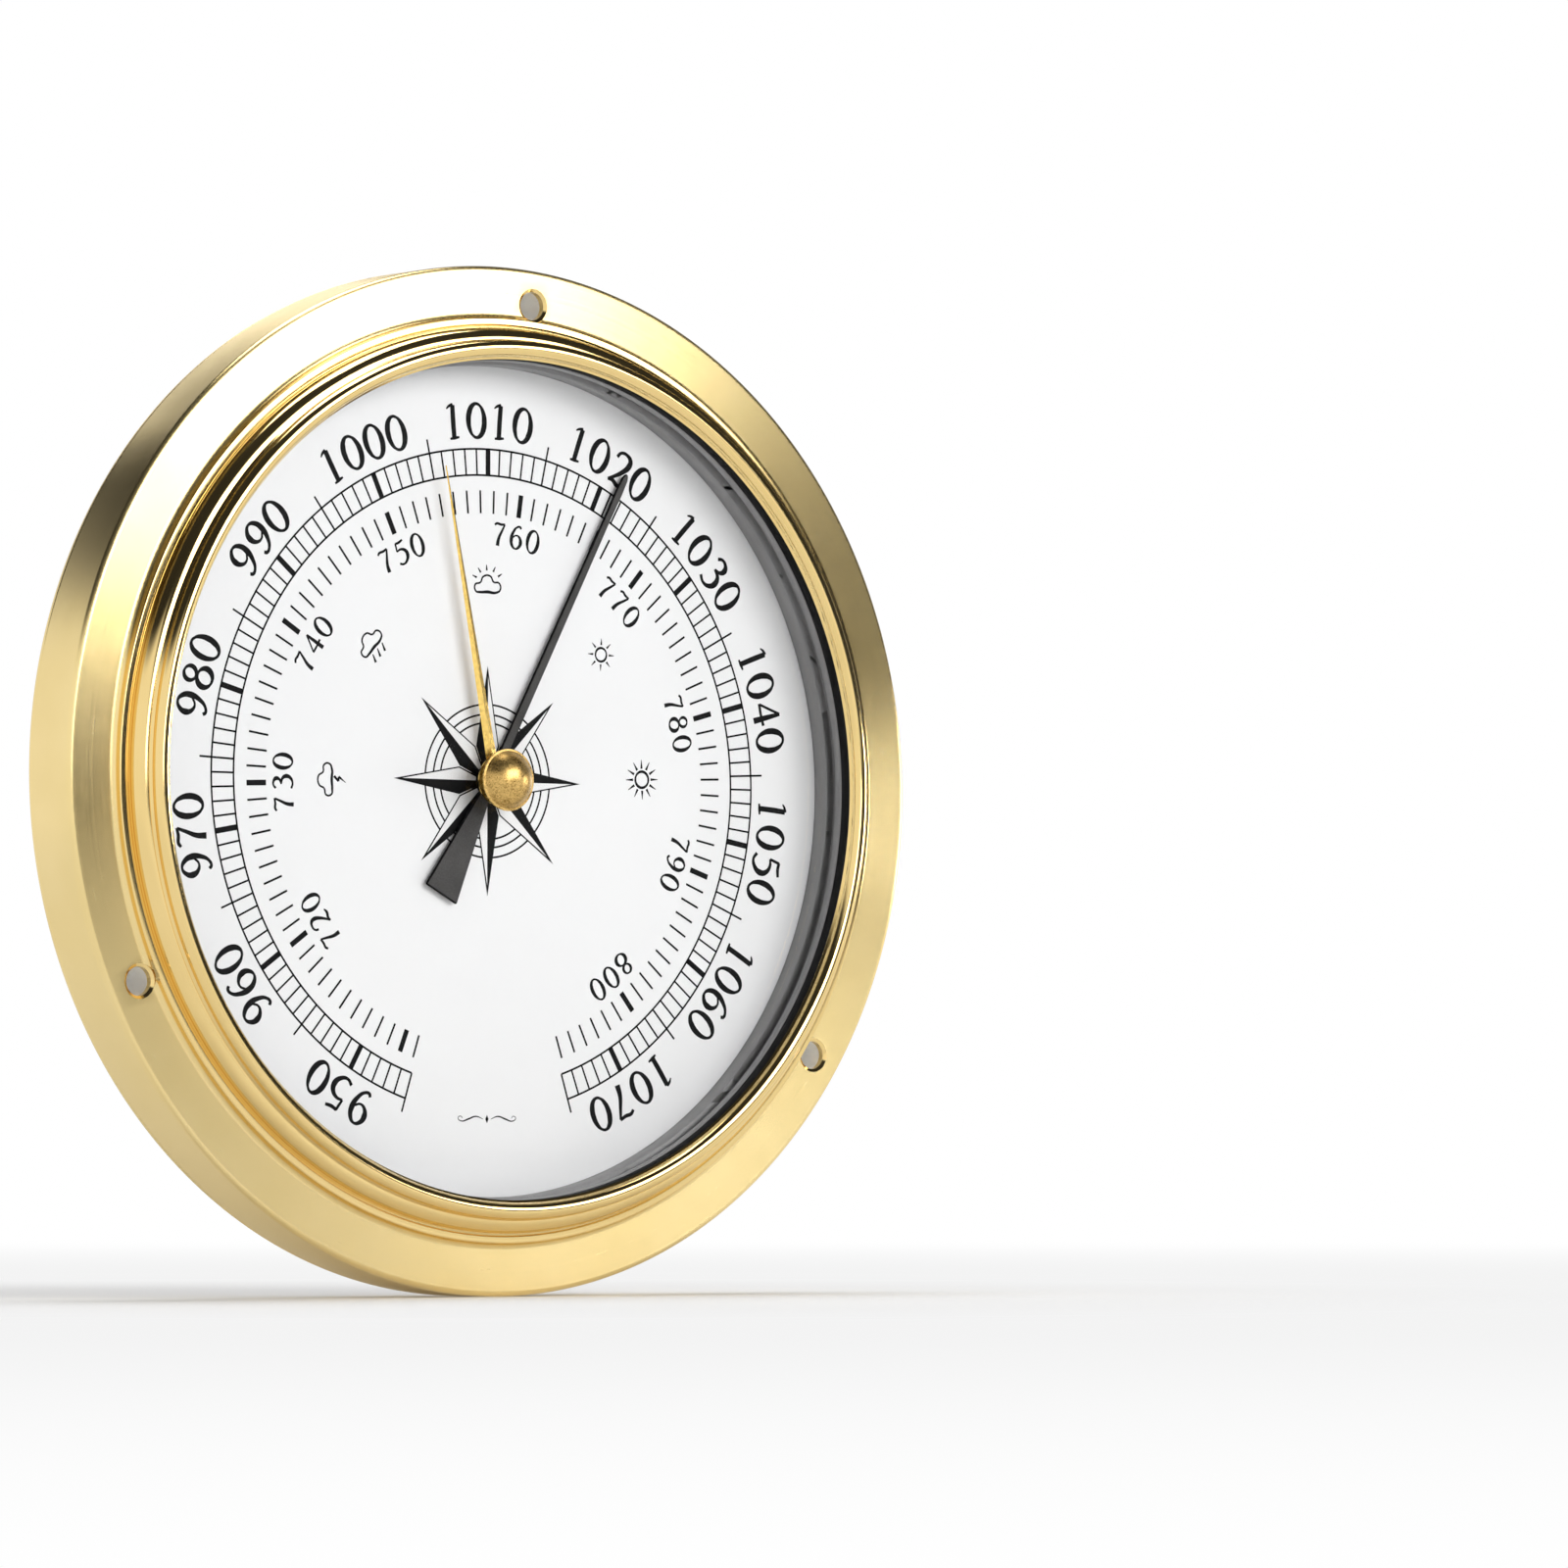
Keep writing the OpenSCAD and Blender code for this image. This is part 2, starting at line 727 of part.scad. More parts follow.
// Outline of the bridge, seen from the front: a bar, a cross bar and two lugs
module bridge_outline() {
  end_r = bridge_pillar_r + 1.2;
  lug_w = bracket_w + 1;
  lug_y = shaft_y + bracket_y / 2 + 1;
  translate([bridge_left_x, -bridge_bar_w / 2])
    square([bridge_right_x - bridge_left_x, bridge_bar_w]);
  translate([bridge_right_x - bridge_bar_w / 2, -bridge_arm_y])
    square([bridge_bar_w, 2 * bridge_arm_y]);
  for (p = bridge_posts) translate(p) circle(r = end_r);
  translate([shaft_left - bracket_w, 0]) square([lug_w, lug_y]);
  translate([shaft_right + bracket_w - lug_w, 0]) square([lug_w, lug_y]);
}

module bridge() {
  color(BRASS) front() translate([0, 0, bridge_z]) linear_extrude(bridge_t) difference() {
    bridge_outline();
    circle(r = arbor_r + run_gap);
    translate([sector_x, 0]) circle(r = arbor_r + run_gap);
    for (p = bridge_posts) translate(p) circle(r = bridge_pillar_r * tenon_share);
  }
}

module bridge_pillars() {
  color(BRASS) front() for (p = bridge_posts) translate(p) {
    disc(bridge_pillar_r, bridge_top, front_plate_z);
    disc(bridge_pillar_r * tenon_share, bridge_z, bridge_top + 0.5);
  }
}

// Aneroid capsule

// Corrugated half shell: rim at level zero, crown at the given height
module capsule_shell(height) {
  wall = 0.25;
  rim_w = 1.2;
  wave = 0.35;
  waves = 4;
  rise_share = 6;
  steps = 40;
  in_r = boss_r;
  out_r = capsule_r - rim_w;
  top = [for (i = [0:steps]) let (
      t = i / steps,
      r = out_r + (in_r - out_r) * t,
      rise = min(1, t * rise_share) * (height - wave - wall)
    ) [r, rise + wave * (1 - cos(360 * waves * t)) / 2 + wall]];
  under = [for (i = [steps:-1:0]) top[i] - [0, wall]];
  rotate_extrude() polygon(concat([[capsule_r, 0], [capsule_r, wall]], top, [[0, top[steps][1]]],
                                  [[0, top[steps][1] - wall]], under));
}

module capsule_rear() {
  color(STEEL) front() difference() {
    union() {
      translate([0, 0, capsule_mid]) mirror([0, 0, 1]) capsule_shell(capsule_t / 2);
      disc(boss_r, base_top, capsule_bottom + 0.5);
    }
    disc(adjuster_r + run_gap, base_top - 1, capsule_bottom + 0.1);
  }
}

module capsule_front() {
  color(STEEL) front() translate([0, 0, capsule_mid]) capsule_shell(capsule_t / 2);
}

// Coil that holds the capsule open, one tube along a helix
module capsule_spring() {
  coil_r = 5;
  wire_r = 0.25;
  turns = 2;
  sides = 6;
  per_turn = 16;
  shell_depth = 0.65;
  low = capsule_bottom + shell_depth + wire_r;
  high = capsule_top - shell_depth - wire_r;
  rings = turns * per_turn;
  points = [for (i = [0:rings]) for (j = [0:sides - 1]) let (
      a = 360 * i / per_turn,
      b = 360 * j / sides,
      z = low + (high - low) * i / rings
    ) [(coil_r + wire_r * cos(b)) * cos(a), (coil_r + wire_r * cos(b)) * sin(a), z + wire_r * sin(b)]];
  walls = [for (i = [0:rings - 1]) for (j = [0:sides - 1]) for (half = [0, 1]) let (
      a = i * sides + j,
      b = i * sides + (j + 1) % sides
    ) half == 0 ? [a, b, b + sides] : [a, b + sides, a + sides]];
  ends = [[for (j = [sides - 1:-1:0]) j], [for (j = [0:sides - 1]) rings * sides + j]];
  color(STEEL) front() polyhedron(points = points, faces = concat(walls, ends));
}

module capsule_stud() {
  color(BRASS) front() {
    disc(2.6, capsule_top, capsule_top + 0.2);
    disc(0.6, capsule_top, stud_top);
  }
}

module adjusting_screw() {
  head_r = 2.8;
  head_t = 0.9;
  color(STEEL) front() difference() {
    union() {
      disc(head_r, base_bottom - head_t, base_bottom - fit);
      disc(adjuster_r, base_bottom - 2 * fit, capsule_bottom);
    }
    translate([-head_r, -slot_w / 2, base_bottom - 1.5 * head_t])
      cube([2 * head_r, slot_w, head_t]);
  }
}

// Lever, link and sector

module rocking_shaft() {
  color(STEEL) front() translate([0, shaft_y, shaft_z]) rotate([0, 90, 0]) {
    disc(shaft_r, shaft_left + 2 * fit, shaft_right - 2 * fit);
    disc(pivot_r, shaft_left - bracket_w + 0.2, shaft_right + bracket_w - 0.2);
  }
}

module shaft_brackets() {
  depth = bridge_z - shaft_z + pivot_r + run_gap + bracket_wall;
  color(BRASS) front() difference() {
    for (x = [shaft_left - bracket_w, shaft_right])
      translate([x, shaft_y - bracket_y / 2, bridge_z - depth]) cube([bracket_w, bracket_y, depth]);
    translate([0, shaft_y, shaft_z]) rotate([0, 90, 0])
      disc(pivot_r + run_gap, shaft_left - 5, shaft_right + 5);
  }
}

module rocker_arm() {
  arm_w = 1.4;
  arm_t = 0.6;
  tip = 0.6;
  color(BRASS) front() translate([0, shaft_y, shaft_z]) difference() {
    union() {
      translate([-arm_w / 2, -arm_throw - tip, -arm_t / 2]) cube([arm_w, arm_throw + tip, arm_t]);
      rotate([0, 90, 0]) disc(rocker_hub_r, -arm_w / 2, arm_w / 2);
    }
    rotate([0, 90, 0]) disc(shaft_r, -arm_w, arm_w);
  }
}

module rocker_crank() {
  crank_w = 0.9;
  color(BRASS) front() translate([0, shaft_y, shaft_z]) difference() {
    union() {
      translate([crank_x - crank_t, -crank_w / 2, 0]) cube([crank_t, crank_w, crank_len + crank_w / 2]);
      rotate([0, 90, 0]) disc(rocker_hub_r, crank_x - crank_t, crank_x);
      translate([0, 0, crank_len]) rotate([0, 90, 0]) disc(pin_r, crank_x - 0.1, crank_x + eye_t + 0.35);
    }
    rotate([0, 90, 0]) disc(shaft_r, crank_x - 2, crank_x + 2);
  }
}

// The link: one eye on the crank's pin, and a wider one on the sector's tail pin
module link_rod() {
  rod_r = 0.3;
  pin_hole_r = pin_r + run_gap;
  open_hole_r = pin_r + open_gap;
  color(STEEL) front() difference() {
    union() {
      translate([eye_x, shaft_y, link_z]) rotate([0, 90, 0])
        disc(pin_hole_r + eye_wall, -eye_t / 2, eye_t / 2);
      translate([tail_x, 0, link_z]) disc(open_hole_r + eye_wall, -eye_t / 2, eye_t / 2);
      translate([eye_x, shaft_y, link_z]) rotate([90, 0, 0])
        disc(rod_r, pin_hole_r, shaft_y - open_hole_r);
    }
    translate([eye_x, shaft_y, link_z]) rotate([0, 90, 0]) disc(pin_hole_r, -eye_t, eye_t);
    translate([tail_x, 0, link_z]) disc(open_hole_r, -eye_t, eye_t);
  }
}

module sector_gear() {
  pitch_a = 360 / sector_teeth;
  root_r = sector_r - tooth_root;
  rim_w = 1.6;
  spoke_w = 1.5;
  hub_r = arbor_r + 1.3;
  tail_w = 1.8;
  last = floor(sector_half_a / pitch_a);
  half_a = sector_half_a + pitch_a;
  spoke_a = half_a - 3;
  color(BRASS) front() translate([sector_x, 0, 0]) difference() {
    union() {
      translate([0, 0, gear_z]) linear_extrude(gear_t) {
        difference() {
          circle(r = root_r, $fn = 144);
          circle(r = root_r - rim_w, $fn = 144);
          sector_cut(half_a);
        }
        gear_teeth(sector_r, [for (i = [-last:last]) i * pitch_a]);
        for (a = [-spoke_a, spoke_a]) rotate(a) translate([0, -spoke_w / 2])
          square([root_r - rim_w / 2, spoke_w]);
        translate([-crank_throw - tail_w / 2, -tail_w / 2]) square([crank_throw + tail_w / 2, tail_w]);
      }
      disc(hub_r, gear_z - gear_gap / 2, gear_z + gear_t + gear_gap / 2);
      translate([-crank_throw, 0, 0]) disc(pin_r, gear_z, link_z + eye_t / 2 + 0.25);
    }
    disc(arbor_r, gear_z - 1, gear_z + gear_t + 1);
  }
}

// Cuts away all of a wheel but the sector between plus and minus an angle
module sector_cut(half) {
  far = 2 * sector_r;
  far_x = far * cos(half);
  far_y = far * sin(half);
  polygon([[0, 0], [far_x, far_y], [far_x, far], [-far, far], [-far, -far], [far_x, -far],
           [far_x, -far_y]]);
}

module sector_arbor() {
  color(STEEL) front() translate([sector_x, 0, 0])
    disc(arbor_r, bridge_z, front_plate_z + plate_t - 0.1);
}

front_bezel();
rear_ring();
screw_ferrules();
case_ring();
glass_gasket();
glass_retainer();
glass();
dial_surround();
dial();
set_knob();
set_arbor();
glass_bush();
friction_washer();
set_pointer();
indicator_pointer();
pointer_bush();
pointer_arbor();
pinion();
hairspring();
hairspring_collet();
hairspring_stud();
carrier_plate();
carrier_clips();
carrier_screws();
movement_drum();
back_cover();
front_plate();
base_plate();
bridge();
plate_pillars();
bridge_pillars();
base_screws();
capsule_rear();
capsule_front();
capsule_spring();
capsule_stud();
adjusting_screw();
rocking_shaft();
rocker_arm();
rocker_crank();
shaft_brackets();
link_rod();
sector_gear();
sector_arbor();
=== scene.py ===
import math

import bmesh
import bpy
from mathutils import Matrix, Vector


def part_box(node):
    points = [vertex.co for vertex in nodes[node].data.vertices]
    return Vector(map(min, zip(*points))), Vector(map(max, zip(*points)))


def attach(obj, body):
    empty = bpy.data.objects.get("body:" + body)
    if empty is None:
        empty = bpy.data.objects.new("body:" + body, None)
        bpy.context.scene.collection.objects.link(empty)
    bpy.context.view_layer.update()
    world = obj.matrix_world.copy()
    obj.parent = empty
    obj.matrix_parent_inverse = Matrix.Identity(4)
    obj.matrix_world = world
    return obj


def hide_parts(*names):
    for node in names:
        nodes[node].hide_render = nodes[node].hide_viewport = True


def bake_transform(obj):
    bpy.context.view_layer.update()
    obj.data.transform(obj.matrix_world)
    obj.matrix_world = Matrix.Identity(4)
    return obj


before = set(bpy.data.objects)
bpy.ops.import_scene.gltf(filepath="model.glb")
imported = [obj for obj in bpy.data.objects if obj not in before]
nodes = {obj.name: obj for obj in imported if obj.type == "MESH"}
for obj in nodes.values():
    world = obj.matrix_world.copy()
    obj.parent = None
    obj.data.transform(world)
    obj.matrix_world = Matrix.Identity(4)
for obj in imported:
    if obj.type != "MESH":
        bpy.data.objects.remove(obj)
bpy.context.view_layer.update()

# Pieces are drawn in millimetres as seen from the front: x right, y up, z forward from the
# mounting plane. STAND turns and shrinks them into the part's own frame.
MM = 1000.0
STAND = Matrix.Rotation(math.radians(90), 4, "X") @ Matrix.Scale(1 / MM, 4)


def front_of(node):
    """Level of a CAD piece's front face."""
    return round(-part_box(node)[0].y * MM, 3)


def back_of(node):
    """Level of a CAD piece's back face."""
    return round(-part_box(node)[1].y * MM, 3)


def radius_of(node):
    """Outer radius of a round CAD piece on the instrument's axis."""
    return round(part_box(node)[1].x * MM, 3)


# Radii of the case, in millimetres
FLANGE = radius_of("front_bezel")
SKIRT_IN = 71.3
RIDGE = 65.1
SLEEVE = 61.4
BORE = 60.1
STACK = 60.05
GLASS_EDGE = 59.9
LIP = 59.0
RETAINER_IN = 58.9
SURROUND_IN = 58.6
RIM_IN = 57.15
RING_IN = 50.65
DRUM_FOOT = radius_of("movement_drum")
DRUM = 39.6
COVER = 38.25
DRUM_IN = 38.1

# Mounting holes
BOLT_CIRCLE = 67.45
HOLE = 2.0
HOLE_FLARE = 0.45
HOLE_SPOTS = [(BOLT_CIRCLE * math.cos(math.radians(a)), BOLT_CIRCLE * math.sin(math.radians(a)))
              for a in (85.5, -34.5, 205.5)]

# Levels in millimetres, in front of the mounting plane
LIP_BACK = front_of("glass_gasket")
GASKET = back_of("glass_gasket")
GLASS_TOP = front_of("glass")
FACE = 11.0
GLASS_BACK = back_of("glass")
DIAL_FACE = front_of("dial")
DIAL_BACK = back_of("dial")
CARRIER = back_of("carrier_plate")
SKIRT_END = 1.75
COVER_IN = front_of("back_cover")
COVER_OUT = back_of("back_cover")
DRUM_END = back_of("movement_drum")

# Sheet thickness, broken edges, and the distance at which doubled points are merged
SHEET = 1.2
BURR = 0.12
MERGE = 0.0005


# Shapes

def arc(centre, radius, start, end, steps):
    """Points of a profile along an arc."""
    points = []
    for i in range(steps + 1):
        a = math.radians(start + (end - start) * i / steps)
        points.append((centre[0] + radius * math.cos(a), centre[1] + radius * math.sin(a)))
    return points


def lathe(profile, steps=256, turn=360.0):
    """A closed profile of radius and level, spun round the axis."""
    bm = bmesh.new()
    verts = [bm.verts.new((r, 0, z)) for r, z in profile]
    edges = [bm.edges.new((verts[i - 1], verts[i])) for i in range(len(verts))]
    full = turn >= 360
    spun = bmesh.ops.spin(bm, geom=verts + edges, cent=(0, 0, 0), axis=(0, 0, 1), dvec=(0, 0, 0),
                          angle=math.radians(turn), steps=steps, use_merge=full)
    if not full:
        last = [e for e in spun["geom_last"] if isinstance(e, bmesh.types.BMEdge)]
        bmesh.ops.contextual_create(bm, geom=edges)
        bmesh.ops.contextual_create(bm, geom=last)
    bmesh.ops.remove_doubles(bm, verts=bm.verts, dist=MERGE)
    return bm


def plate(outline, low, high):
    """A flat outline made solid between two levels."""
    bm = bmesh.new()
    face = bm.faces.new([bm.verts.new((x, y, low)) for x, y in outline])
    solid = bmesh.ops.extrude_face_region(bm, geom=[face])
    top = [v for v in solid["geom"] if isinstance(v, bmesh.types.BMVert)]
    bmesh.ops.translate(bm, verts=top, vec=(0, 0, high - low))
    return bm


def turned(clock):
    """Turns a piece clockwise from twelve o'clock."""
    return Matrix.Rotation(math.radians(-clock), 4, "Z")


def add_to(target, part, matrix=None):
    """Adds one bmesh to another."""
    mesh = bpy.data.meshes.new("part")
    if matrix is not None:
        part.transform(matrix)
    part.to_mesh(mesh)
    part.free()
    target.from_mesh(mesh)
    bpy.data.meshes.remove(mesh)


def bevel_sharp(bm, width, segments, limit):
    """Rounds the edges that turn more sharply than the limit."""
    sharp = [e for e in bm.edges if len(e.link_faces) == 2
             and e.calc_face_angle(0) > math.radians(limit)]
    bmesh.ops.bevel(bm, geom=sharp, offset=width, offset_type="OFFSET", affect="EDGES",
                    segments=segments, profile=0.5, material=-1, clamp_overlap=True)


def placed(name, data):
    """A new object in the scene."""
    obj = bpy.data.objects.new(name, data)
    bpy.context.scene.collection.objects.link(obj)
    return obj


def worked_out(obj):
    """The mesh that an object's modifiers or curve come to."""
    bpy.context.view_layer.update()
    graph = bpy.context.evaluated_depsgraph_get()
    return bpy.data.meshes.new_from_object(obj.evaluated_get(graph))


def bored(obj, cutter):
    """Cuts the cutter's shape out of a piece."""
    mod = obj.modifiers.new("holes", "BOOLEAN")
    mod.operation = "DIFFERENCE"
    mod.solver = "EXACT"
    mod.object = cutter
    mesh = worked_out(obj)
    obj.modifiers.clear()
    old = obj.data
    obj.data = mesh
    bpy.data.meshes.remove(old)
    bpy.data.objects.remove(cutter)


def raw_object(bm, name):
    """An object still in the drawing's millimetres."""
    bmesh.ops.recalc_face_normals(bm, faces=bm.faces)
    mesh = bpy.data.meshes.new(name)
    bm.to_mesh(mesh)
    bm.free()
    return placed(name, mesh)


def smooth(mesh, sharp, materials):
    """Smooth shading up to the sharp angle, and the piece's finishes."""
    mesh.polygons.foreach_set("use_smooth", [True] * len(mesh.polygons))
    mesh.set_sharp_from_angle(angle=math.radians(sharp))
    mesh.materials.clear()
    for material in materials:
        mesh.materials.append(material)


def finish(obj, body, materials, stands_for, sharp, second=None):
    """Stands a piece up, smooths it and hands it to its body.

    Second says whether the face with this middle, as drawn, takes the second finish.
    """
    mesh = obj.data
    if second:
        picks = [int(second(face.center)) for face in mesh.polygons]
    mesh.transform(STAND)
    smooth(mesh, sharp, materials)
    if second:
        mesh.polygons.foreach_set("material_index", picks)
    mesh.update()
    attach(obj, body)
    if stands_for:
        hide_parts(*stands_for)


def piece(bm, name, body, material, stands_for, sharp):
    """A finished piece straight from its bmesh."""
    finish(raw_object(bm, name), body, [material], stands_for, sharp)


def softened(node, body, material, width):
    """A CAD piece with its edges rounded, standing for its node."""
    bm = bmesh.new()
    bm.from_mesh(nodes[node].data)
    bm.transform(STAND.inverted())
    bmesh.ops.remove_doubles(bm, verts=bm.verts, dist=MERGE)
    bmesh.ops.dissolve_limit(bm, angle_limit=math.radians(1.0), verts=bm.verts, edges=bm.edges)
    bevel_sharp(bm, width, segments=2, limit=35.0)
    piece(bm, node + "_dressed", body, material, [node], sharp=40.0)


def flexed(node, material):
    """A copy of a springy CAD piece, smoothed and standing for its node."""
    bm = bmesh.new()
    bm.from_mesh(nodes[node].data)
    bmesh.ops.remove_doubles(bm, verts=bm.verts, dist=MERGE / MM)
    obj = raw_object(bm, node + "_flexing")
    smooth(obj.data, 30.0, [material])
    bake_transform(obj)
    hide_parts(node)


# Finishes

class Wiring:
    """The node tree of a finish or of the room."""

    def __init__(self, tree):
        self.tree = tree

    def feed(self, socket, value):
        """Links an output to a socket, or sets the socket to a plain value."""
        if isinstance(value, bpy.types.NodeSocket):
            self.tree.links.new(value, socket)
        else:
            socket.default_value = value

    def node(self, kind, feeds=(), **settings):
        """A new node with its settings, its sockets fed by name or by number."""
        made = self.tree.nodes.new(kind)
        for key, value in settings.items():
            setattr(made, key, value)
        for key, value in dict(feeds).items():
            self.feed(made.inputs[key], value)
        return made

    def maths(self, operation, *values):
        """A sum with numbers."""
        return self.node("ShaderNodeMath", enumerate(values), operation=operation).outputs[0]

    def vector(self, operation, *values):
        """A sum with places or directions."""
        return self.node("ShaderNodeVectorMath", enumerate(values), operation=operation)

    def span(self, value, low, high, out_low, out_high, kind="LINEAR"):
        """A range of a measure carried over to another range."""
        feeds = {"Value": value, "From Min": low, "From Max": high, "To Min": out_low, "To Max": out_high}
        return self.node("ShaderNodeMapRange", feeds, interpolation_type=kind).outputs["Result"]

    def step(self, value, low, high):
        """A soft step from nothing to one."""
        return self.span(value, low, high, 0.0, 1.0, "SMOOTHSTEP")

    def between(self, fac, a, b):
        """One number turning into another."""
        return self.node("ShaderNodeMix", {0: fac, 2: a, 3: b}, data_type="FLOAT").outputs[0]

    def seen(self):
        """One for the rays that show the background: camera, glossy and transmission."""
        path = self.node("ShaderNodeLightPath").outputs
        either = self.maths("MAXIMUM", path["Is Camera Ray"], path["Is Glossy Ray"])
        return self.maths("MAXIMUM", either, path["Is Transmission Ray"])


class Finish(Wiring):
    """A node material in millimetres of the piece's own coordinates."""

    def __init__(self, name):
        self.mat = bpy.data.materials.new(name)
        self.mat.use_nodes = True
        super().__init__(self.mat.node_tree)
        self.shader = self.tree.nodes["Principled BSDF"]
        coords = self.node("ShaderNodeTexCoord").outputs["Object"]
        scaled = self.node("ShaderNodeMapping", {"Vector": coords, "Scale": (MM, MM, MM)})
        self.place = scaled.outputs["Vector"]

    def shade(self, **values):
        """Feeds the shader's own sockets."""
        for key, value in values.items():
            self.feed(self.shader.inputs[key.replace("_", " ")], value)

    def noise(self, size, detail, rough, along=None):
        """Noise of a size in millimetres, in space or along one measure."""
        feeds = {"Scale": 1.0 / size, "Detail": detail, "Roughness": rough}
        if along is None:
            feeds["Vector"] = self.place
            return self.node("ShaderNodeTexNoise", feeds).outputs["Fac"]
        feeds["W"] = along
        return self.node("ShaderNodeTexNoise", feeds, noise_dimensions="1D").outputs["Fac"]

    def ramp(self, fac, *stops):
        """Colours between stops of a measure."""
        made = self.node("ShaderNodeValToRGB", {"Fac": fac})
        elements = made.color_ramp.elements
        while len(elements) < len(stops):
            elements.new(0.5)
        for element, (at, colour) in zip(elements, stops):
            element.position = at
            element.color = colour + (1,)
        return made.outputs["Color"]

    def mix(self, fac, pattern, plain):
        """A pattern fading into a plain colour."""
        feeds = {0: fac, 6: pattern, 7: plain + (1,)}
        return self.node("ShaderNodeMix", feeds, data_type="RGBA").outputs[2]

    def bump(self, height, strength, depth):
        """Relief of a depth in millimetres."""
        feeds = {"Height": height, "Strength": strength, "Distance": depth / MM}
        return self.node("ShaderNodeBump", feeds).outputs["Normal"]

    def radius(self):
        """Distance from the instrument's axis."""
        flat = self.vector("MULTIPLY", self.place, (1, 0, 1)).outputs[0]
        return self.vector("LENGTH", flat).outputs["Value"]

    def round_the_axis(self):
        """The direction of the tool marks on turned metal."""
        cross = self.vector("CROSS_PRODUCT", self.place, (0, 1, 0)).outputs[0]
        unit = self.vector("NORMALIZE", cross).outputs[0]
        return self.node("ShaderNodeVectorTransform", {0: unit}, vector_type="VECTOR",
                         convert_from="OBJECT", convert_to="WORLD").outputs[0]


def turned_brass(name, colour, dark, rough, grain, brushing):
    """Lacquered brass, turned and brushed round the instrument's axis."""
    m = Finish(name)
    lines = m.noise(0.28, 3.0, 0.6, m.radius())
    clouds = m.noise(16.0, 3.0, 0.55)
    haze = m.noise(2.5, 4.0, 0.6)
    streak = m.span(lines, 0.3, 0.7, rough * 0.92, rough * 1.08)
    m.shade(Base_Color=m.ramp(clouds, (0.3, dark), (0.7, colour)),
            Roughness=m.maths("ADD", streak, m.span(haze, 0.35, 0.75, 0.0, 0.02)),
            Normal=m.bump(lines, grain, 0.01), Tangent=m.round_the_axis(),
            Metallic=1.0, Anisotropic=brushing, Anisotropic_Rotation=0.25)
    return m.mat


def cast_brass(name, colour, dark, rough, size):
    """Gilt brass with a fine blasted grain."""
    m = Finish(name)
    speck = m.noise(size, 3.0, 0.65)
    wide = m.noise(size * 5, 2.0, 0.5)
    grains = m.ramp(speck, (0.35, dark), (0.62, colour))
    m.shade(Base_Color=m.mix(m.span(wide, 0.35, 0.7, 0.0, 0.6), grains, colour),
            Roughness=m.span(speck, 0.3, 0.7, rough * 0.75, rough * 1.3),
            Normal=m.bump(speck, 0.35, 0.03), Metallic=1.0)
    return m.mat


def plain_metal(name, colour, dark, rough):
    """Bright steel or brass of the small fittings, lightly brushed."""
    m = Finish(name)
    fine = m.noise(0.5, 4.0, 0.6)
    m.shade(Base_Color=m.ramp(fine, (0.3, dark), (0.7, colour)),
            Roughness=m.span(fine, 0.3, 0.7, rough * 0.8, rough * 1.3),
            Normal=m.bump(fine, 0.12, 0.01), Metallic=1.0)
    return m.mat


def paint(name, colour, light, rough, grain_size, grain, specular=0.5):
    """A sprayed or moulded finish with a fine orange-peel grain."""
    m = Finish(name)
    fine = m.noise(grain_size, 3.0, 0.6)
    wide = m.noise(grain_size * 25, 3.0, 0.5)
    mottle = m.maths("ADD", m.maths("MULTIPLY", fine, 0.5), m.maths("MULTIPLY", wide, 0.5))
    m.shade(Base_Color=m.ramp(mottle, (0.35, colour), (0.65, light)),
            Roughness=m.span(wide, 0.3, 0.7, rough * 0.85, rough * 1.2),
            Normal=m.bump(fine, grain, 0.02), Specular_IOR_Level=specular)
    return m.mat


def grained_cover_finish():
    """Dark grey cover with a sparkling cast grain."""
    m = Finish("grained_cover_grey")
    fine = m.noise(0.18, 4.0, 0.7)
    pits = m.noise(0.4, 2.0, 0.6)
    wide = m.noise(30.0, 2.0, 0.5)
    both = m.maths("ADD", m.maths("MULTIPLY", fine, 0.6), m.maths("MULTIPLY", pits, 0.4))
    grains = m.ramp(both, (0.36, (0.06, 0.06, 0.061)), (0.5, (0.2, 0.2, 0.202)), (0.66, (0.5, 0.5, 0.5)))
    m.shade(Base_Color=m.mix(m.span(wide, 0.35, 0.7, 0.0, 0.25), grains, (0.24, 0.24, 0.245)),
            Roughness=m.span(both, 0.35, 0.65, 0.6, 0.38), Normal=m.bump(both, 0.5, 0.06),
            Metallic=0.55, Specular_IOR_Level=0.5)
    return m.mat


def clear_glass_finish():
    """Thin flat glass: clear, with a plain surface reflection."""
    m = Finish("clear_flat_glass")
    edge_on = m.node("ShaderNodeFresnel", {"IOR": 1.45}).outputs[0]
    smear = m.noise(18.0, 3.0, 0.5)
    m.shade(Alpha=m.maths("MULTIPLY", edge_on, m.span(smear, 0.3, 0.7, 0.22, 0.36)),
            Base_Color=m.ramp(smear, (0.3, (0.93, 0.95, 0.95)), (0.7, (0.97, 0.98, 0.98))),
            Metallic=1.0, Roughness=0.02)
    return m.mat


def dial_white(name, colour, light):
    """White dial enamel with a very slight tooth."""
    m = Finish(name)
    tooth = m.noise(0.9, 3.0, 0.5)
    wide = m.noise(35.0, 2.0, 0.5)
    mottle = m.maths("ADD", m.maths("MULTIPLY", tooth, 0.4), m.maths("MULTIPLY", wide, 0.6))
    m.shade(Base_Color=m.ramp(mottle, (0.35, colour), (0.65, light)),
            Roughness=m.span(tooth, 0.3, 0.7, 0.42, 0.52), Normal=m.bump(tooth, 0.04, 0.01),
            Specular_IOR_Level=0.35)
    return m.mat


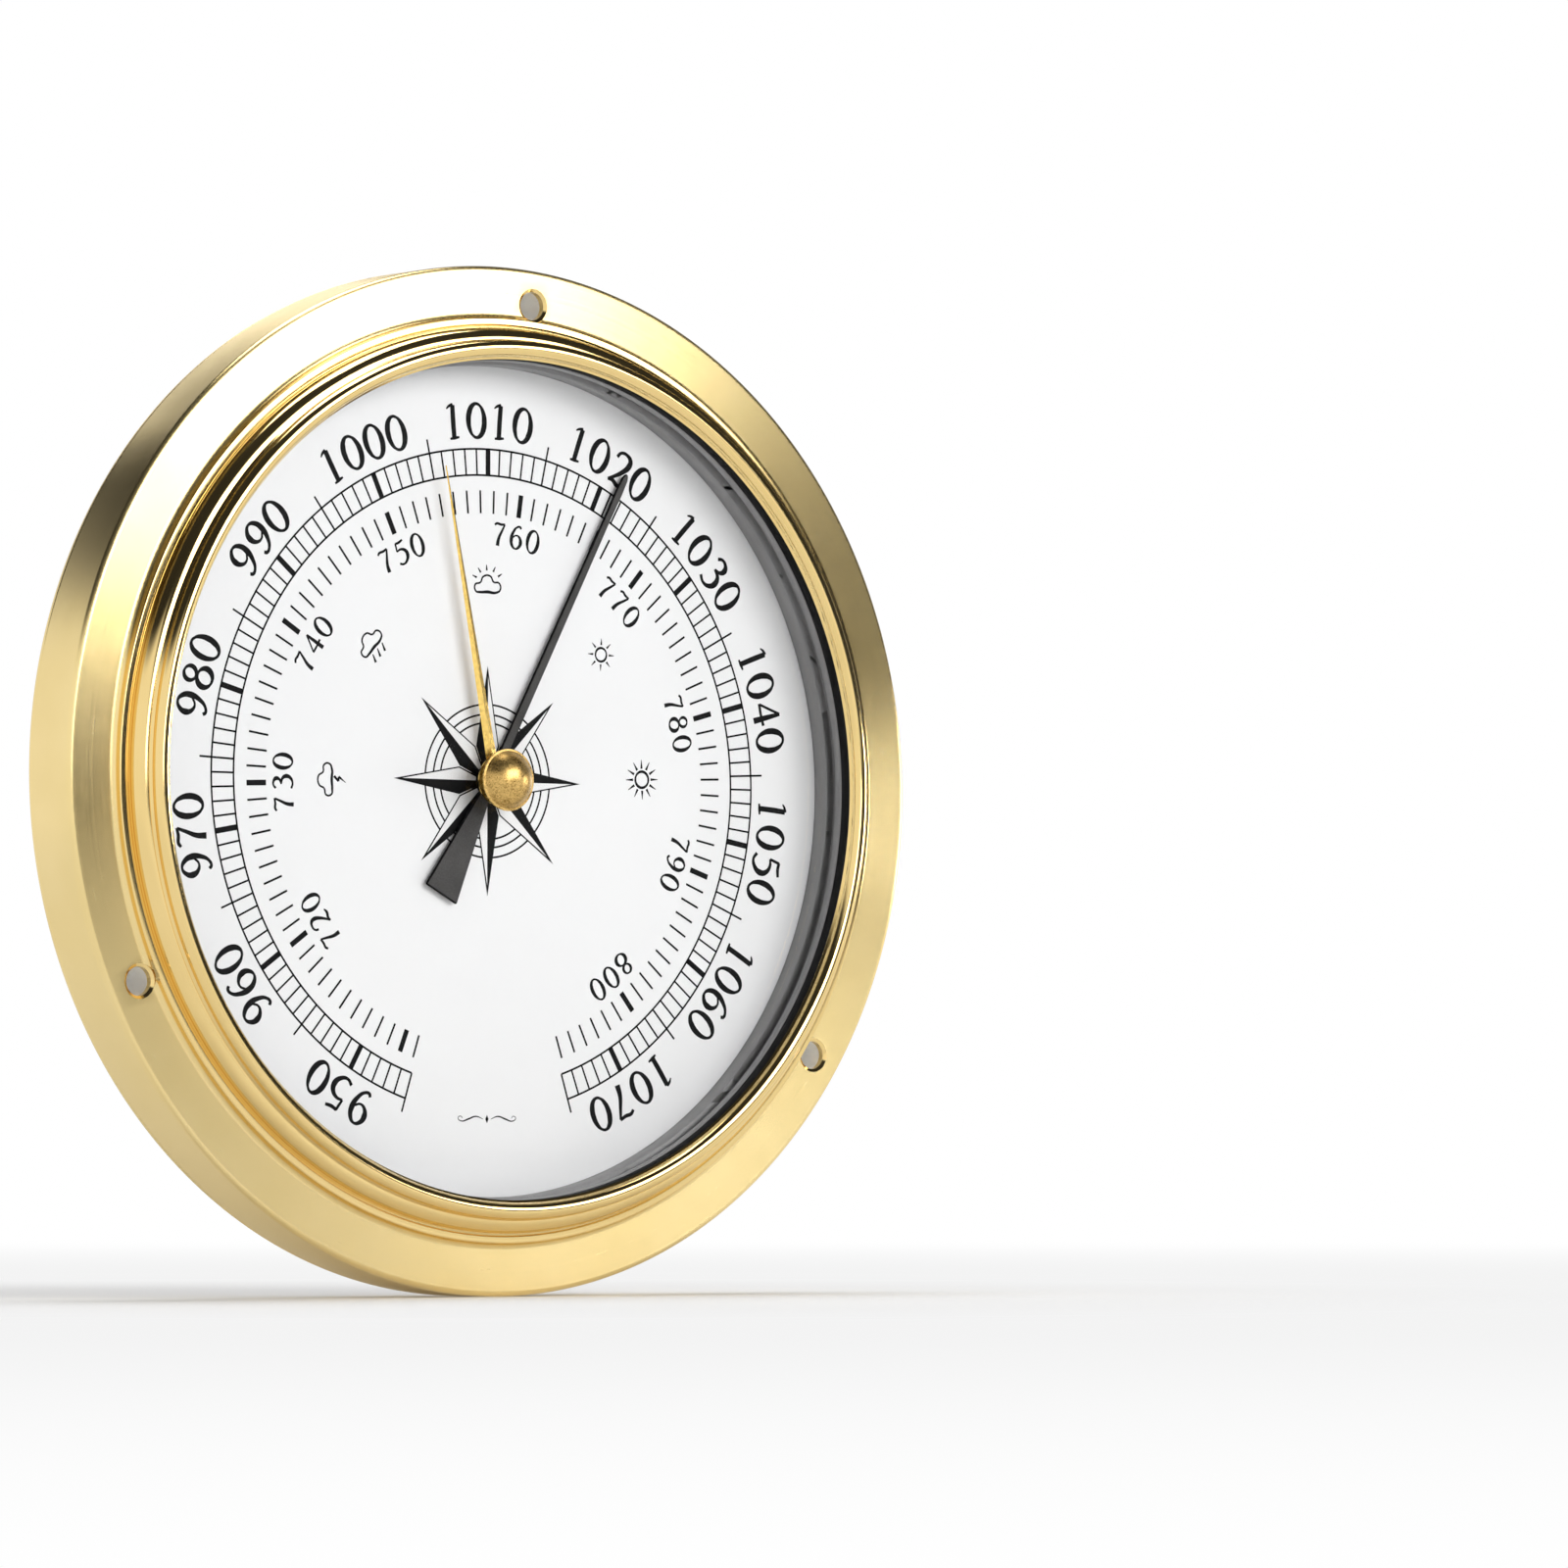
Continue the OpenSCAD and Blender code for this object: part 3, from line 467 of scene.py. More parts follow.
BRASS = turned_brass("brushed_brass", (0.91, 0.72, 0.35), (0.87, 0.68, 0.31), 0.24, 0.012, 0.9)
BEAD_BRASS = turned_brass("polished_brass", (0.9, 0.68, 0.3), (0.86, 0.64, 0.27), 0.1, 0.008, 0.2)
DEEP_BRASS = turned_brass("drawn_brass", (0.88, 0.62, 0.22), (0.78, 0.53, 0.17), 0.24, 0.02, 0.6)
GILT_GRAIN = cast_brass("blasted_gilt", (0.76, 0.51, 0.18), (0.25, 0.135, 0.028), 0.32, 0.22)
GILT = cast_brass("polished_gilt", (0.85, 0.6, 0.18), (0.72, 0.48, 0.13), 0.2, 0.5)
GEAR_BRASS = plain_metal("gear_brass", (0.85, 0.64, 0.28), (0.74, 0.54, 0.22), 0.28)
# Movement brass coloured near black: painted shade for the dark seen through the cover's holes, used on the
# base plate.
BRASS_DARK_AS_SHADE = plain_metal("brass_dark_as_painted_shade", (0.028, 0.024, 0.02), (0.014, 0.012, 0.01), 0.5)
STEEL = plain_metal("bright_steel", (0.62, 0.62, 0.63), (0.5, 0.5, 0.52), 0.25)
BURNISHED = plain_metal("burnished_steel", (0.07, 0.07, 0.075), (0.035, 0.035, 0.038), 0.4)
NICKEL = plain_metal("capsule_nickel", (0.7, 0.68, 0.64), (0.6, 0.58, 0.55), 0.3)
HAND_FACE = paint("satin_hand_face", (0.045, 0.043, 0.042), (0.09, 0.087, 0.086), 0.55, 0.22, 0.4, 0.12)
# A darker copy of the hand's black paint for its bevels and sides: painted shade along the edges.
HAND_EDGE_SHADE = paint("hand_edge_painted_shade", (0.003, 0.003, 0.003), (0.006, 0.006, 0.006), 0.5, 0.3, 0.05, 0.05)
INK = paint("dial_ink", (0.005, 0.005, 0.0055), (0.009, 0.009, 0.0095), 0.6, 0.3, 0.05, 0.08)
PLATE_BLACK = paint("satin_black_plate", (0.008, 0.007, 0.007), (0.014, 0.013, 0.012), 0.36, 0.6, 0.05)
DRUM_BLACK = paint("gloss_black_drum", (0.004, 0.004, 0.004), (0.007, 0.007, 0.007), 0.2, 0.8, 0.04)
RUBBER = paint("black_rubber", (0.006, 0.006, 0.006), (0.01, 0.01, 0.01), 0.7, 0.4, 0.2, 0.12)
GREY_WALL = paint("grey_wall_paint", (0.25, 0.247, 0.248), (0.29, 0.287, 0.288), 0.42, 0.3, 0.05)
NYLON = paint("pale_nylon", (0.94, 0.94, 0.93), (0.98, 0.98, 0.97), 0.4, 0.4, 0.06)
COVER_GREY = grained_cover_finish()
GLASS = clear_glass_finish()
WHITE = dial_white("dial_enamel", (0.865, 0.868, 0.875), (0.885, 0.888, 0.892))
ROSE_WHITE = dial_white("rose_white", (0.84, 0.84, 0.84), (0.88, 0.88, 0.88))


# Case rings

def bead_line():
    """Radius and rise of the fillet, ridge, groove and beads, from the flange inward."""
    fillet, edge, low_bead, high_bead = 0.9, 0.25, 1.95, 1.2
    ridge_top, groove = 1.35, 1.1
    line = arc((RIDGE + fillet, fillet), fillet, 270, 180, 8)
    line += arc((RIDGE - edge, ridge_top - edge), edge, 0, 90, 5)
    line += [(RIDGE - 0.95, ridge_top), (RIDGE - 1.15, groove), (RIDGE - 1.4, groove)]
    line += arc((RIDGE - 3.4, 1.71), low_bead, -10, 85, 20)
    line += arc((RIDGE - 4.6, 4.5), high_bead, -20, 180, 26)
    return line


def hole_cutter(face, out):
    """The three mounting holes, flared out at one face. Out is 1 forward and -1 backward."""
    behind, depth, clear = -9.0 * out, 0.3 * out, 3.0 * out
    profile = [(0, behind), (HOLE, behind), (HOLE, face - depth), (HOLE + HOLE_FLARE, face),
               (HOLE + HOLE_FLARE, face + clear), (0, face + clear)]
    cutter = bmesh.new()
    for x, y in HOLE_SPOTS:
        add_to(cutter, lathe(profile, steps=48), Matrix.Translation((x, y, 0)))
    return raw_object(cutter, "hole_cutter")


def polished(middle):
    """Whether a face of a flange lies on its beads or in the flare of a hole."""
    from_hole = min(math.hypot(middle.x - x, middle.y - y) for x, y in HOLE_SPOTS)
    return math.hypot(middle.x, middle.y) < RIDGE + 0.2 or from_hole < HOLE + 0.4


def make_flange(outline, face, out, name, node):
    """A spun flange with its three holes and polished beads."""
    obj = raw_object(lathe(outline, steps=288), name)
    bored(obj, hole_cutter(face, out))
    finish(obj, "case", [BRASS, BEAD_BRASS], [node], 25.0, polished)


def make_bezel():
    """Front flange with its side skirt, beads, lip and sleeve."""
    edge, lip_edge = 0.8, 0.15
    outline = arc((FLANGE - edge, FACE - edge), edge, 0, 90, 8)
    outline += [(r, FACE + rise) for r, rise in bead_line()]
    outline += arc((LIP + lip_edge, LIP_BACK + lip_edge), lip_edge, 180, 270, 3)
    outline += [(BORE, LIP_BACK), (BORE, SHEET), (SLEEVE, SHEET), (SLEEVE, FACE - SHEET),
                (SKIRT_IN, FACE - SHEET), (SKIRT_IN, SKIRT_END), (FLANGE - BURR, SKIRT_END),
                (FLANGE, SKIRT_END + BURR)]
    make_flange(outline, FACE, 1, "brass_front_bezel", "front_bezel")


def make_rear_ring():
    """Rear flange, drawn as the front one's mirror image."""
    edge, wall = 1.6, 0.6
    spigot = SKIRT_IN - 0.05
    spigot_top = SHEET + 2.3
    outline = [(FLANGE - BURR, SKIRT_END), (spigot, SKIRT_END), (spigot, spigot_top),
               (spigot - wall, spigot_top), (spigot - wall, SHEET), (RIDGE - 5.8, SHEET)]
    outline += [(r, -rise) for r, rise in reversed(bead_line())]
    outline += arc((FLANGE - edge, edge), edge, -90, 0, 12)
    outline += [(FLANGE, SKIRT_END - BURR)]
    make_flange(outline, 0, -1, "brass_rear_flange", "rear_ring")


def make_case_ring():
    """Rounded brass ring behind the dial, with its seat."""
    middle = (RIM_IN + RING_IN) / 2
    half = (RIM_IN - RING_IN) / 2
    roll_start, roll, seat = DIAL_BACK - 0.8, 3.3, 1.3
    outline = [(RING_IN, DIAL_BACK)]
    for i in range(33):
        a = math.pi * i / 32
        outline.append((middle - half * math.cos(a), roll_start - roll * math.sin(a)))
    outline += [(RIM_IN, seat + 1.2), (RIM_IN + 0.25, seat + 0.8), (RIM_IN + 1.6, seat), (STACK, seat),
                (STACK, DIAL_BACK)]
    piece(lathe(outline), "brass_dial_ring", "case", DEEP_BRASS, ["case_ring"],
          sharp=40.0)


def make_glass_stack():
    """Gasket, retainer and grey wall in front of the dial."""
    for name, node, slot, material, inner, low, high, edge in (
            ("rubber_gasket", "glass_gasket", "black_rubber", RUBBER, LIP, GASKET, LIP_BACK, 0.08),
            ("glass_retaining_ring", "glass_retainer", "grey_ring", GREY_WALL, RETAINER_IN,
             GLASS_TOP, GASKET, 0.1),
            ("grey_dial_wall", "dial_surround", "grey_ring", GREY_WALL, SURROUND_IN,
             DIAL_FACE, GLASS_BACK, 0.08)):
        outline = [(STACK, low), (STACK, high), (inner + edge, high), (inner, high - edge),
                   (inner, low + edge), (inner + edge, low)]
        piece(lathe(outline), name, "case", material, [node], sharp=50.0)


# Shaft of the set hand, neck of the glass bush, and the gaps round them
SHAFT = radius_of("set_arbor")
NECK = 2.54
RUNNING = 0.04
FIT = 0.05


def make_glass():
    """Flat glass with a ground grey edge and a hole for the bush."""
    outline = [(NECK + FIT, GLASS_BACK), (NECK + FIT, GLASS_TOP), (GLASS_EDGE - BURR, GLASS_TOP),
               (GLASS_EDGE, GLASS_TOP - BURR), (GLASS_EDGE, GLASS_BACK + BURR),
               (GLASS_EDGE - BURR, GLASS_BACK)]
    glass = raw_object(lathe(outline, steps=192), "flat_glass")
    finish(glass, "case", [GLASS, GREY_WALL], ["glass"], 30.0,
           lambda middle: math.hypot(middle.x, middle.y) > GLASS_EDGE - 0.1)


# Pen strokes of the dial's print, as points of x, y and half the stroke's width

THICK = 0.084
THIN = 0.034

# How far the print stands on the dial and reaches into it
PRINT = 0.02
SINK = 0.01


def pen(*points):
    """An open stroke."""
    return (False, points)


def loop(*points):
    """A closed stroke."""
    return (True, points)


def oval(cx, cy, rx, ry, tilt, thick, thin, count):
    """A closed oval, thick at its sides."""
    points = []
    for i in range(count):
        a = 2 * math.pi * i / count
        half = thin + (thick - thin) * abs(math.cos(a + tilt)) ** 1.4
        points.append((cx + rx * math.cos(a), cy + ry * math.sin(a), half))
    return loop(*points)


def strokes_mesh(strokes):
    """Strokes as one mesh, flattened to the height of the print."""
    curve = bpy.data.curves.new("pen", "CURVE")
    curve.dimensions = "3D"
    curve.bevel_depth = 1.0
    curve.bevel_resolution = 1
    curve.resolution_u = 5
    curve.use_fill_caps = True
    for closed, points in strokes:
        spline = curve.splines.new("BEZIER")
        spline.bezier_points.add(len(points) - 1)
        for knot, (x, y, half) in zip(spline.bezier_points, points):
            knot.co = (x, y, 0)
            knot.radius = half
            knot.handle_left_type = "AUTO"
            knot.handle_right_type = "AUTO"
        spline.use_cyclic_u = closed
    obj = placed("pen", curve)
    mesh = worked_out(obj)
    bpy.data.objects.remove(obj)
    bpy.data.curves.remove(curve)
    widest = max(abs(v.co.z) for v in mesh.vertices)
    mesh.transform(Matrix.Diagonal((1, 1, PRINT / widest, 1)))
    return mesh


def stamp(ink, mesh, clock, radius, shape):
    """Adds a copy of a mesh of strokes to the print, at its clock angle and radius."""
    start = len(ink.verts)
    ink.from_mesh(mesh)
    ink.verts.ensure_lookup_table()
    place = turned(clock) @ Matrix.Translation((0, radius, DIAL_FACE)) @ shape
    bmesh.ops.transform(ink, matrix=place, verts=ink.verts[start:])


SIX = [(0.5, 0.88, 0.045), (0.44, 0.96, 0.05), (0.3, 0.92, 0.045), (0.16, 0.72, 0.06),
       (0.09, 0.42, THICK), (0.15, 0.14, 0.066), (0.31, 0.02, 0.04), (0.48, 0.12, 0.062),
       (0.54, 0.32, THICK), (0.46, 0.52, 0.055), (0.31, 0.58, 0.036), (0.15, 0.47, THIN)]

DIGITS = {
    "0": [oval(0.31, 0.5, 0.25, 0.47, 0.35, THICK, THIN, 12)],
    "1": [pen((0.3, 0.03, 0.07), (0.31, 0.5, 0.074), (0.33, 0.95, 0.07)),
          pen((0.13, 0.86, 0.02), (0.22, 0.93, 0.04), (0.34, 0.97, 0.045)),
          pen((0.17, 0.02, 0.03), (0.31, 0.04, 0.05), (0.46, 0.05, 0.03))],
    "2": [pen((0.08, 0.76, 0.05), (0.15, 0.92, 0.045), (0.33, 0.97, 0.05), (0.5, 0.88, 0.072),
              (0.52, 0.7, THICK), (0.4, 0.45, 0.066), (0.22, 0.22, 0.05), (0.07, 0.06, 0.04)),
          pen((0.06, 0.06, 0.045), (0.2, 0.1, 0.062), (0.4, 0.03, 0.066), (0.58, 0.08, 0.03))],
    "3": [pen((0.1, 0.84, 0.05), (0.2, 0.95, 0.045), (0.36, 0.95, 0.056), (0.47, 0.82, THICK),
              (0.42, 0.65, 0.055), (0.25, 0.57, 0.036)),
          pen((0.25, 0.57, 0.036), (0.45, 0.52, 0.062), (0.55, 0.32, THICK), (0.47, 0.1, 0.066),
              (0.28, 0.01, 0.045), (0.08, 0.08, 0.05))],
    "4": [pen((0.42, 0.97, 0.04), (0.22, 0.62, 0.036), (0.05, 0.33, 0.036)),
          pen((0.03, 0.32, 0.05), (0.3, 0.31, 0.045), (0.62, 0.33, 0.05)),
          pen((0.42, 0.97, 0.05), (0.43, 0.5, 0.07), (0.44, 0.02, THICK))],
    "5": [pen((0.16, 0.93, 0.05), (0.34, 0.92, 0.055), (0.53, 0.97, 0.045)),
          pen((0.17, 0.94, 0.04), (0.15, 0.78, 0.04), (0.12, 0.6, 0.036)),
          pen((0.12, 0.6, 0.036), (0.3, 0.63, 0.05), (0.49, 0.52, 0.07), (0.54, 0.31, THICK),
              (0.43, 0.1, 0.062), (0.24, 0.01, 0.045), (0.06, 0.1, 0.05))],
    "6": [pen(*SIX)],
    "7": [pen((0.07, 0.88, 0.045), (0.18, 0.95, 0.055), (0.36, 0.92, 0.055), (0.56, 0.94, 0.045)),
          pen((0.55, 0.93, 0.04), (0.43, 0.66, 0.052), (0.29, 0.34, 0.068), (0.24, 0.02, THICK))],
    "8": [oval(0.31, 0.755, 0.18, 0.2, 0.5, 0.066, THIN, 10),
          oval(0.31, 0.27, 0.235, 0.25, 0.4, THICK, THIN, 12)],
    "9": [pen(*[(0.62 - x, 1.0 - y, half) for x, y, half in SIX])],
}
DIGIT_MIDDLE = Vector((0.31, 0.5, 0))
DIGIT_WIDTH = 1.08

CLOUD = loop((-0.9, -0.1, 0.06), (-0.95, 0.3, 0.06), (-0.55, 0.45, 0.06), (-0.35, 0.8, 0.06),
             (0.2, 0.85, 0.06), (0.45, 0.5, 0.06), (0.85, 0.45, 0.06), (0.95, 0.05, 0.06),
             (0.6, -0.15, 0.08), (0.0, -0.12, 0.1), (-0.6, -0.15, 0.08))

STORM = [CLOUD, pen((0.2, -0.3, 0.09), (-0.12, -0.62, 0.07)),
         pen((-0.12, -0.62, 0.07), (0.16, -0.64, 0.07)), pen((0.16, -0.64, 0.08), (-0.2, -1.15, 0.02))]

RAIN = [CLOUD] + [pen((x + 0.1, -0.35, 0.04), (x - 0.1, -0.85, 0.085)) for x in (-0.5, 0.0, 0.5)]

SUN_BEHIND_CLOUD = [CLOUD] + [pen((0.9 * math.cos(a), 0.45 + 0.75 * math.sin(a), 0.07),
                                  (1.25 * math.cos(a), 0.45 + 1.1 * math.sin(a), 0.03))
                              for a in (0.55, 1.1, 1.65, 2.2, 2.75)]


def sun(radius, ray, count, half):
    """A ringed sun with tapering rays."""
    strokes = [oval(0, 0.1, radius, radius, 0.4, half * 1.4, half, 12)]
    near = radius + 0.18
    far = near + ray
    for i in range(count):
        a = 2 * math.pi * i / count
        strokes.append(pen((near * math.cos(a), 0.1 + near * math.sin(a), half * 1.3),
                           (far * math.cos(a), 0.1 + far * math.sin(a), half * 0.35)))
    return strokes


WEATHER = ((-91.0, STORM), (-47.0, RAIN), (0.0, SUN_BEHIND_CLOUD), (47.0, sun(0.42, 0.4, 8, 0.055)),
           (88.0, sun(0.5, 0.55, 12, 0.065)))

CURL = [(0.5, 0.0, 0.03), (1.4, 0.28, 0.07), (2.4, 0.0, 0.09), (3.3, -0.2, 0.06), (3.7, 0.12, 0.045),
        (3.35, 0.3, 0.04), (3.15, 0.1, 0.03)]

FLOURISH = [pen(*[(side * x, y, half) for x, y, half in CURL]) for side in (-1, 1)]
FLOURISH.append(pen((0, 0.42, 0.02), (0, 0.0, 0.2), (0, -0.42, 0.02)))


# Dial print: hectopascals round the outside, the same pressures in millimetres of mercury inside

TOP_PRESSURE = 1010
LOWEST = 945
HIGHEST = 1075
HPA_ANGLE = 2.5
MERCURY = 1.33322


def clock_of(pressure):
    """Where the scale shows a pressure in hectopascals."""
    return (pressure - TOP_PRESSURE) * HPA_ANGLE


def tick(bm, clock, inner, outer, width):
    """One printed line of the scale."""
    place = turned(clock) @ Matrix.Translation((0, (inner + outer) / 2, DIAL_FACE + (PRINT - SINK) / 2))
    size = Matrix.Diagonal((width, outer - inner, PRINT + SINK, 1))
    bmesh.ops.create_cube(bm, size=1, matrix=place @ size)


def printed_arc(radius, width, turn, height):
    """A printed circle, or an arc that is symmetrical about twelve o'clock."""
    low, high = DIAL_FACE - SINK, DIAL_FACE + height
    profile = [(radius - width / 2, low), (radius + width / 2, low), (radius + width / 2, high),
               (radius - width / 2, high)]
    ring = lathe(profile, 256 if turn >= 360 else 232, turn)
    ring.transform(Matrix.Rotation(math.radians(90 - turn / 2), 4, "Z"))
    return ring


def make_scales():
    """The outer and inner scales."""
    ink = bmesh.new()
    inner, outer, fives = 43.2, 46.9, 48.9
    bold, line, fine = 0.8, 0.28, 0.27
    for radius in (outer, inner):
        add_to(ink, printed_arc(radius, line, (HIGHEST - LOWEST) * HPA_ANGLE, PRINT))
    for value in range(LOWEST, HIGHEST + 1):
        if value % 10 == 0:
            tick(ink, clock_of(value), inner, outer, bold)
        elif value % 5 == 0:
            tick(ink, clock_of(value), inner, fives, line)
        else:
            tick(ink, clock_of(value), inner, outer, fine)
    inner, outer = 37.8, 41.05
    bold, fine = 0.78, 0.3
    for value in range(math.ceil(LOWEST / MERCURY), math.floor(HIGHEST / MERCURY) + 1):
        tick(ink, clock_of(MERCURY * value), inner, outer, bold if value % 10 == 0 else fine)
    piece(ink, "printed_scales", "case", INK, (), sharp=30.0)


def make_numerals():
    """Pen-drawn numbers along both scales."""
    shapes = {key: strokes_mesh(strokes) for key, strokes in DIGITS.items()}
    ink = bmesh.new()

    def label(text, clock, radius, height, advance):
        shape = (Matrix.Diagonal((height * DIGIT_WIDTH, height, 1, 1))
                 @ Matrix.Translation(-DIGIT_MIDDLE))
        for i, char in enumerate(text):
            shift = (i - (len(text) - 1) / 2) * advance
            stamp(ink, shapes[char], clock + math.degrees(shift / radius), radius, shape)

    for value in range(950, 1071, 10):
        label(str(value), clock_of(value), radius=50.9, height=5.1, advance=4.05)
    for value in range(720, 801, 10):
        label(str(value), clock_of(MERCURY * value), radius=35.0, height=3.4, advance=2.95)
    for mesh in shapes.values():
        bpy.data.meshes.remove(mesh)
    piece(ink, "printed_numerals", "case", INK, (), sharp=60.0)


def make_weather_signs():
    """Small generic weather signs where a dial names the weather, and a plain flourish below."""
    ink = bmesh.new()
    sign_radius, sign_size = 27.0, 2.3
    scroll_radius, scroll_size = 47.6, 1.35
    signs = [(strokes, clock, sign_radius, sign_size, 0.0) for clock, strokes in WEATHER]
    signs.append((FLOURISH, 180.0, scroll_radius, scroll_size, 180.0))
    for strokes, clock, radius, size, turn in signs:
        mesh = strokes_mesh(strokes)
        stamp(ink, mesh, clock, radius, turned(turn) @ Matrix.Diagonal((size, size, 1, 1)))
        bpy.data.meshes.remove(mesh)
    piece(ink, "printed_weather_signs", "case", INK, (), sharp=60.0)


def make_rose():
    """Eight-pointed compass rose over three fine circles."""
    ink = bmesh.new()
    for radius in (10.8, 9.4, 8.2):
        add_to(ink, printed_arc(radius, width=0.27, turn=360.0, height=0.012))
    light = bmesh.new()
    tip, waist, half = 16.2, 4.9, 1.95
    low = DIAL_FACE - SINK
    for i in range(8):
        high = DIAL_FACE + (0.04 if i % 2 == 0 else 0.025)
        dark = plate([(0, tip), (-half, waist), (0, 0), (half, waist)], low, high)
        add_to(ink, dark, turned(45.0 * i))
        pale = plate([(0.05, tip - 1.5), (0.05, 0.8), (half - 0.2, waist + 0.05)], low, high + 0.008)
        add_to(light, pale, turned(45.0 * i))
    piece(ink, "compass_rose_black", "case", INK, (), sharp=30.0)
    piece(light, "compass_rose_white", "case", ROSE_WHITE, (), sharp=30.0)


# Hands and knob

POINTER_CLOCK = 28.2
SET_CLOCK = -11.0


def make_pointer():
    """Black hand with its counterweight tail."""
    low, high = back_of("indicator_pointer"), front_of("indicator_pointer")
    # Half widths and heights from the hub to the tip
    side = [(0.78, 1.0), (0.7, 20.0), (0.56, 43.0), (0.62, 47.5), (0.52, 49.6), (0.3, 50.3)]
    outline = [(-x, y) for x, y in side] + [(0.0, 50.5)] + side[::-1]
    tail = [(0.78, -1.0), (2.98, -18.3), (-2.98, -18.3), (-0.78, -1.0)]
    hand = plate(outline + tail, low, high)
    bevel_sharp(hand, 0.16, segments=1, limit=25.0)
    hub, edge = 2.46, 0.08
    add_to(hand, lathe([(0, low), (hub, low), (hub, high - edge), (hub - edge, high), (0, high)], steps=64))
    hand.transform(turned(POINTER_CLOCK))
    # Faces below the hand's top take the darker edge copy of its paint, as painted shade on the bevels.
    finish(raw_object(hand, "black_pointer"), "pointer", [HAND_FACE, HAND_EDGE_SHADE],
           ["indicator_pointer"], 30.0, lambda middle: middle.z <= high - 0.01)


def make_set_hand():
    """Gilt set hand with a ridge along its middle."""
    low, high = back_of("set_pointer"), front_of("set_pointer")
    edge = low + 0.02
    hand = bmesh.new()
    rows = []
    for y, half, top in ((0.0, 0.98, high), (22.0, 0.54, high - 0.04), (44.9, 0.1, low + 0.1)):
        section = ((-half, low), (-half, edge), (0, top), (half, edge), (half, low))
        rows.append([hand.verts.new((x, y, z)) for x, z in section])
    for a, b in zip(rows, rows[1:]):
        for i in range(5):
            j = (i + 1) % 5
            hand.faces.new((a[i], a[j], b[j], b[i]))
    hand.faces.new(rows[0])
    hand.faces.new(rows[-1][::-1])
    hub, hub_edge = 2.5, 0.1
    add_to(hand, lathe([(0, low), (hub, low), (hub, high - hub_edge), (hub - hub_edge, high), (0, high)],
                       steps=64))
    hand.transform(turned(SET_CLOCK))
    piece(hand, "gilt_set_hand", "set_hand", GILT, ["set_pointer"], sharp=20.0)


def make_knob():
    """Grained dome over a thin bright rim with a beaded edge."""
    low, top = back_of("set_knob"), front_of("set_knob")
    seat = front_of("set_arbor")
    radius, rim, dome = 4.05, 4.2, top - seat
    ball = (radius * radius + dome * dome) / (2 * dome)
    start = math.degrees(math.asin((ball - dome) / ball))
    outline = [(0, low), (rim - 0.08, low), (rim, low + 0.08)]
    outline += arc((rim + 0.08, low + 0.38), 0.11, -60, 100, 6)
    outline += [(radius + 0.06, seat - 0.03)]
    outline += arc((0, top - ball), ball, start, 90, 24)
    piece(lathe(outline, steps=128), "gilt_set_knob", "set_hand", GILT_GRAIN, ["set_knob"],
          sharp=40.0)
    beads = bmesh.new()
    count = 40
    for i in range(count):
        a = 2 * math.pi * i / count
        place = Matrix.Translation((rim * math.cos(a), rim * math.sin(a), low + 0.21))
        bmesh.ops.create_uvsphere(beads, u_segments=10, v_segments=6, radius=0.19, matrix=place)
    piece(beads, "knob_beaded_edge", "set_hand", GILT, (), sharp=60.0)


def make_stems():
    """Set shaft, glass bush, washer and the pointer's own bush."""
    low, high = back_of("set_arbor"), front_of("set_arbor")
    shaft = [(0, low), (SHAFT, low), (SHAFT, high), (0, high)]
    piece(lathe(shaft, steps=64), "set_shaft", "set_hand", GILT, ["set_arbor"], sharp=40.0)

    low, high = back_of("glass_bush"), front_of("glass_bush")
    bore, head = SHAFT + RUNNING, radius_of("glass_bush")
    head_edge, neck_edge = 0.06, 0.05
    bush = [(bore, low), (head - head_edge, low), (head, low + head_edge), (head, GLASS_BACK),
            (NECK, GLASS_BACK), (NECK, high - neck_edge), (NECK - neck_edge, high), (bore, high)]
    piece(lathe(bush, steps=96), "glass_centre_bush", "case", GILT, ["glass_bush"],
          sharp=40.0)

    low, high = back_of("friction_washer"), front_of("friction_washer")
    inner, outer = NECK + 0.1, 3.9
    washer = [(inner, low), (outer, low), (outer, high), (inner, high)]
    piece(lathe(washer, steps=96), "spring_washer", "case", STEEL, ["friction_washer"], sharp=40.0)

    low, high = back_of("pointer_bush"), front_of("pointer_bush")
    inner, outer, edge = 0.6, radius_of("pointer_bush"), 0.04
    hub = [(inner, low), (outer, low), (outer, high - edge), (outer - edge, high), (inner, high)]
    piece(lathe(hub, steps=64), "pointer_hub_bush", "pointer", GEAR_BRASS,
          ["pointer_bush"], sharp=40.0)


# Back of the instrument

COVER_TURN = 24.5
CUT_BACK = COVER_OUT - 3.0
CUT_FRONT = COVER_OUT + 3.0


def make_drum():
    """Glossy drum with a foot fillet and a rolled end."""
    foot_edge, fillet, fold = 0.15, 1.65, 0.65
    seat_in, seat_top = DRUM_IN - 0.8, COVER_IN + 0.8
    outline = [(DRUM_IN, CARRIER), (DRUM_FOOT - foot_edge, CARRIER), (DRUM_FOOT, CARRIER - foot_edge)]
    outline += arc((DRUM + fillet, CARRIER - 0.55 - fillet), fillet, 92, 180, 10)
    outline += arc((DRUM - fold, DRUM_END + fold), fold, 0, -180, 16)
    outline += [(DRUM - 2 * fold, COVER_IN), (DRUM_IN, COVER_IN), (seat_in, COVER_IN),
                (seat_in, seat_top), (DRUM_IN, seat_top)]
    piece(lathe(outline), "black_drum", "case", DRUM_BLACK, ["movement_drum"], sharp=35.0)


def on_cover(angle, radius):
    """A place on the cover, at an angle from the keyhole's line."""
    return turned(COVER_TURN - angle) @ Vector((0, radius, 0))


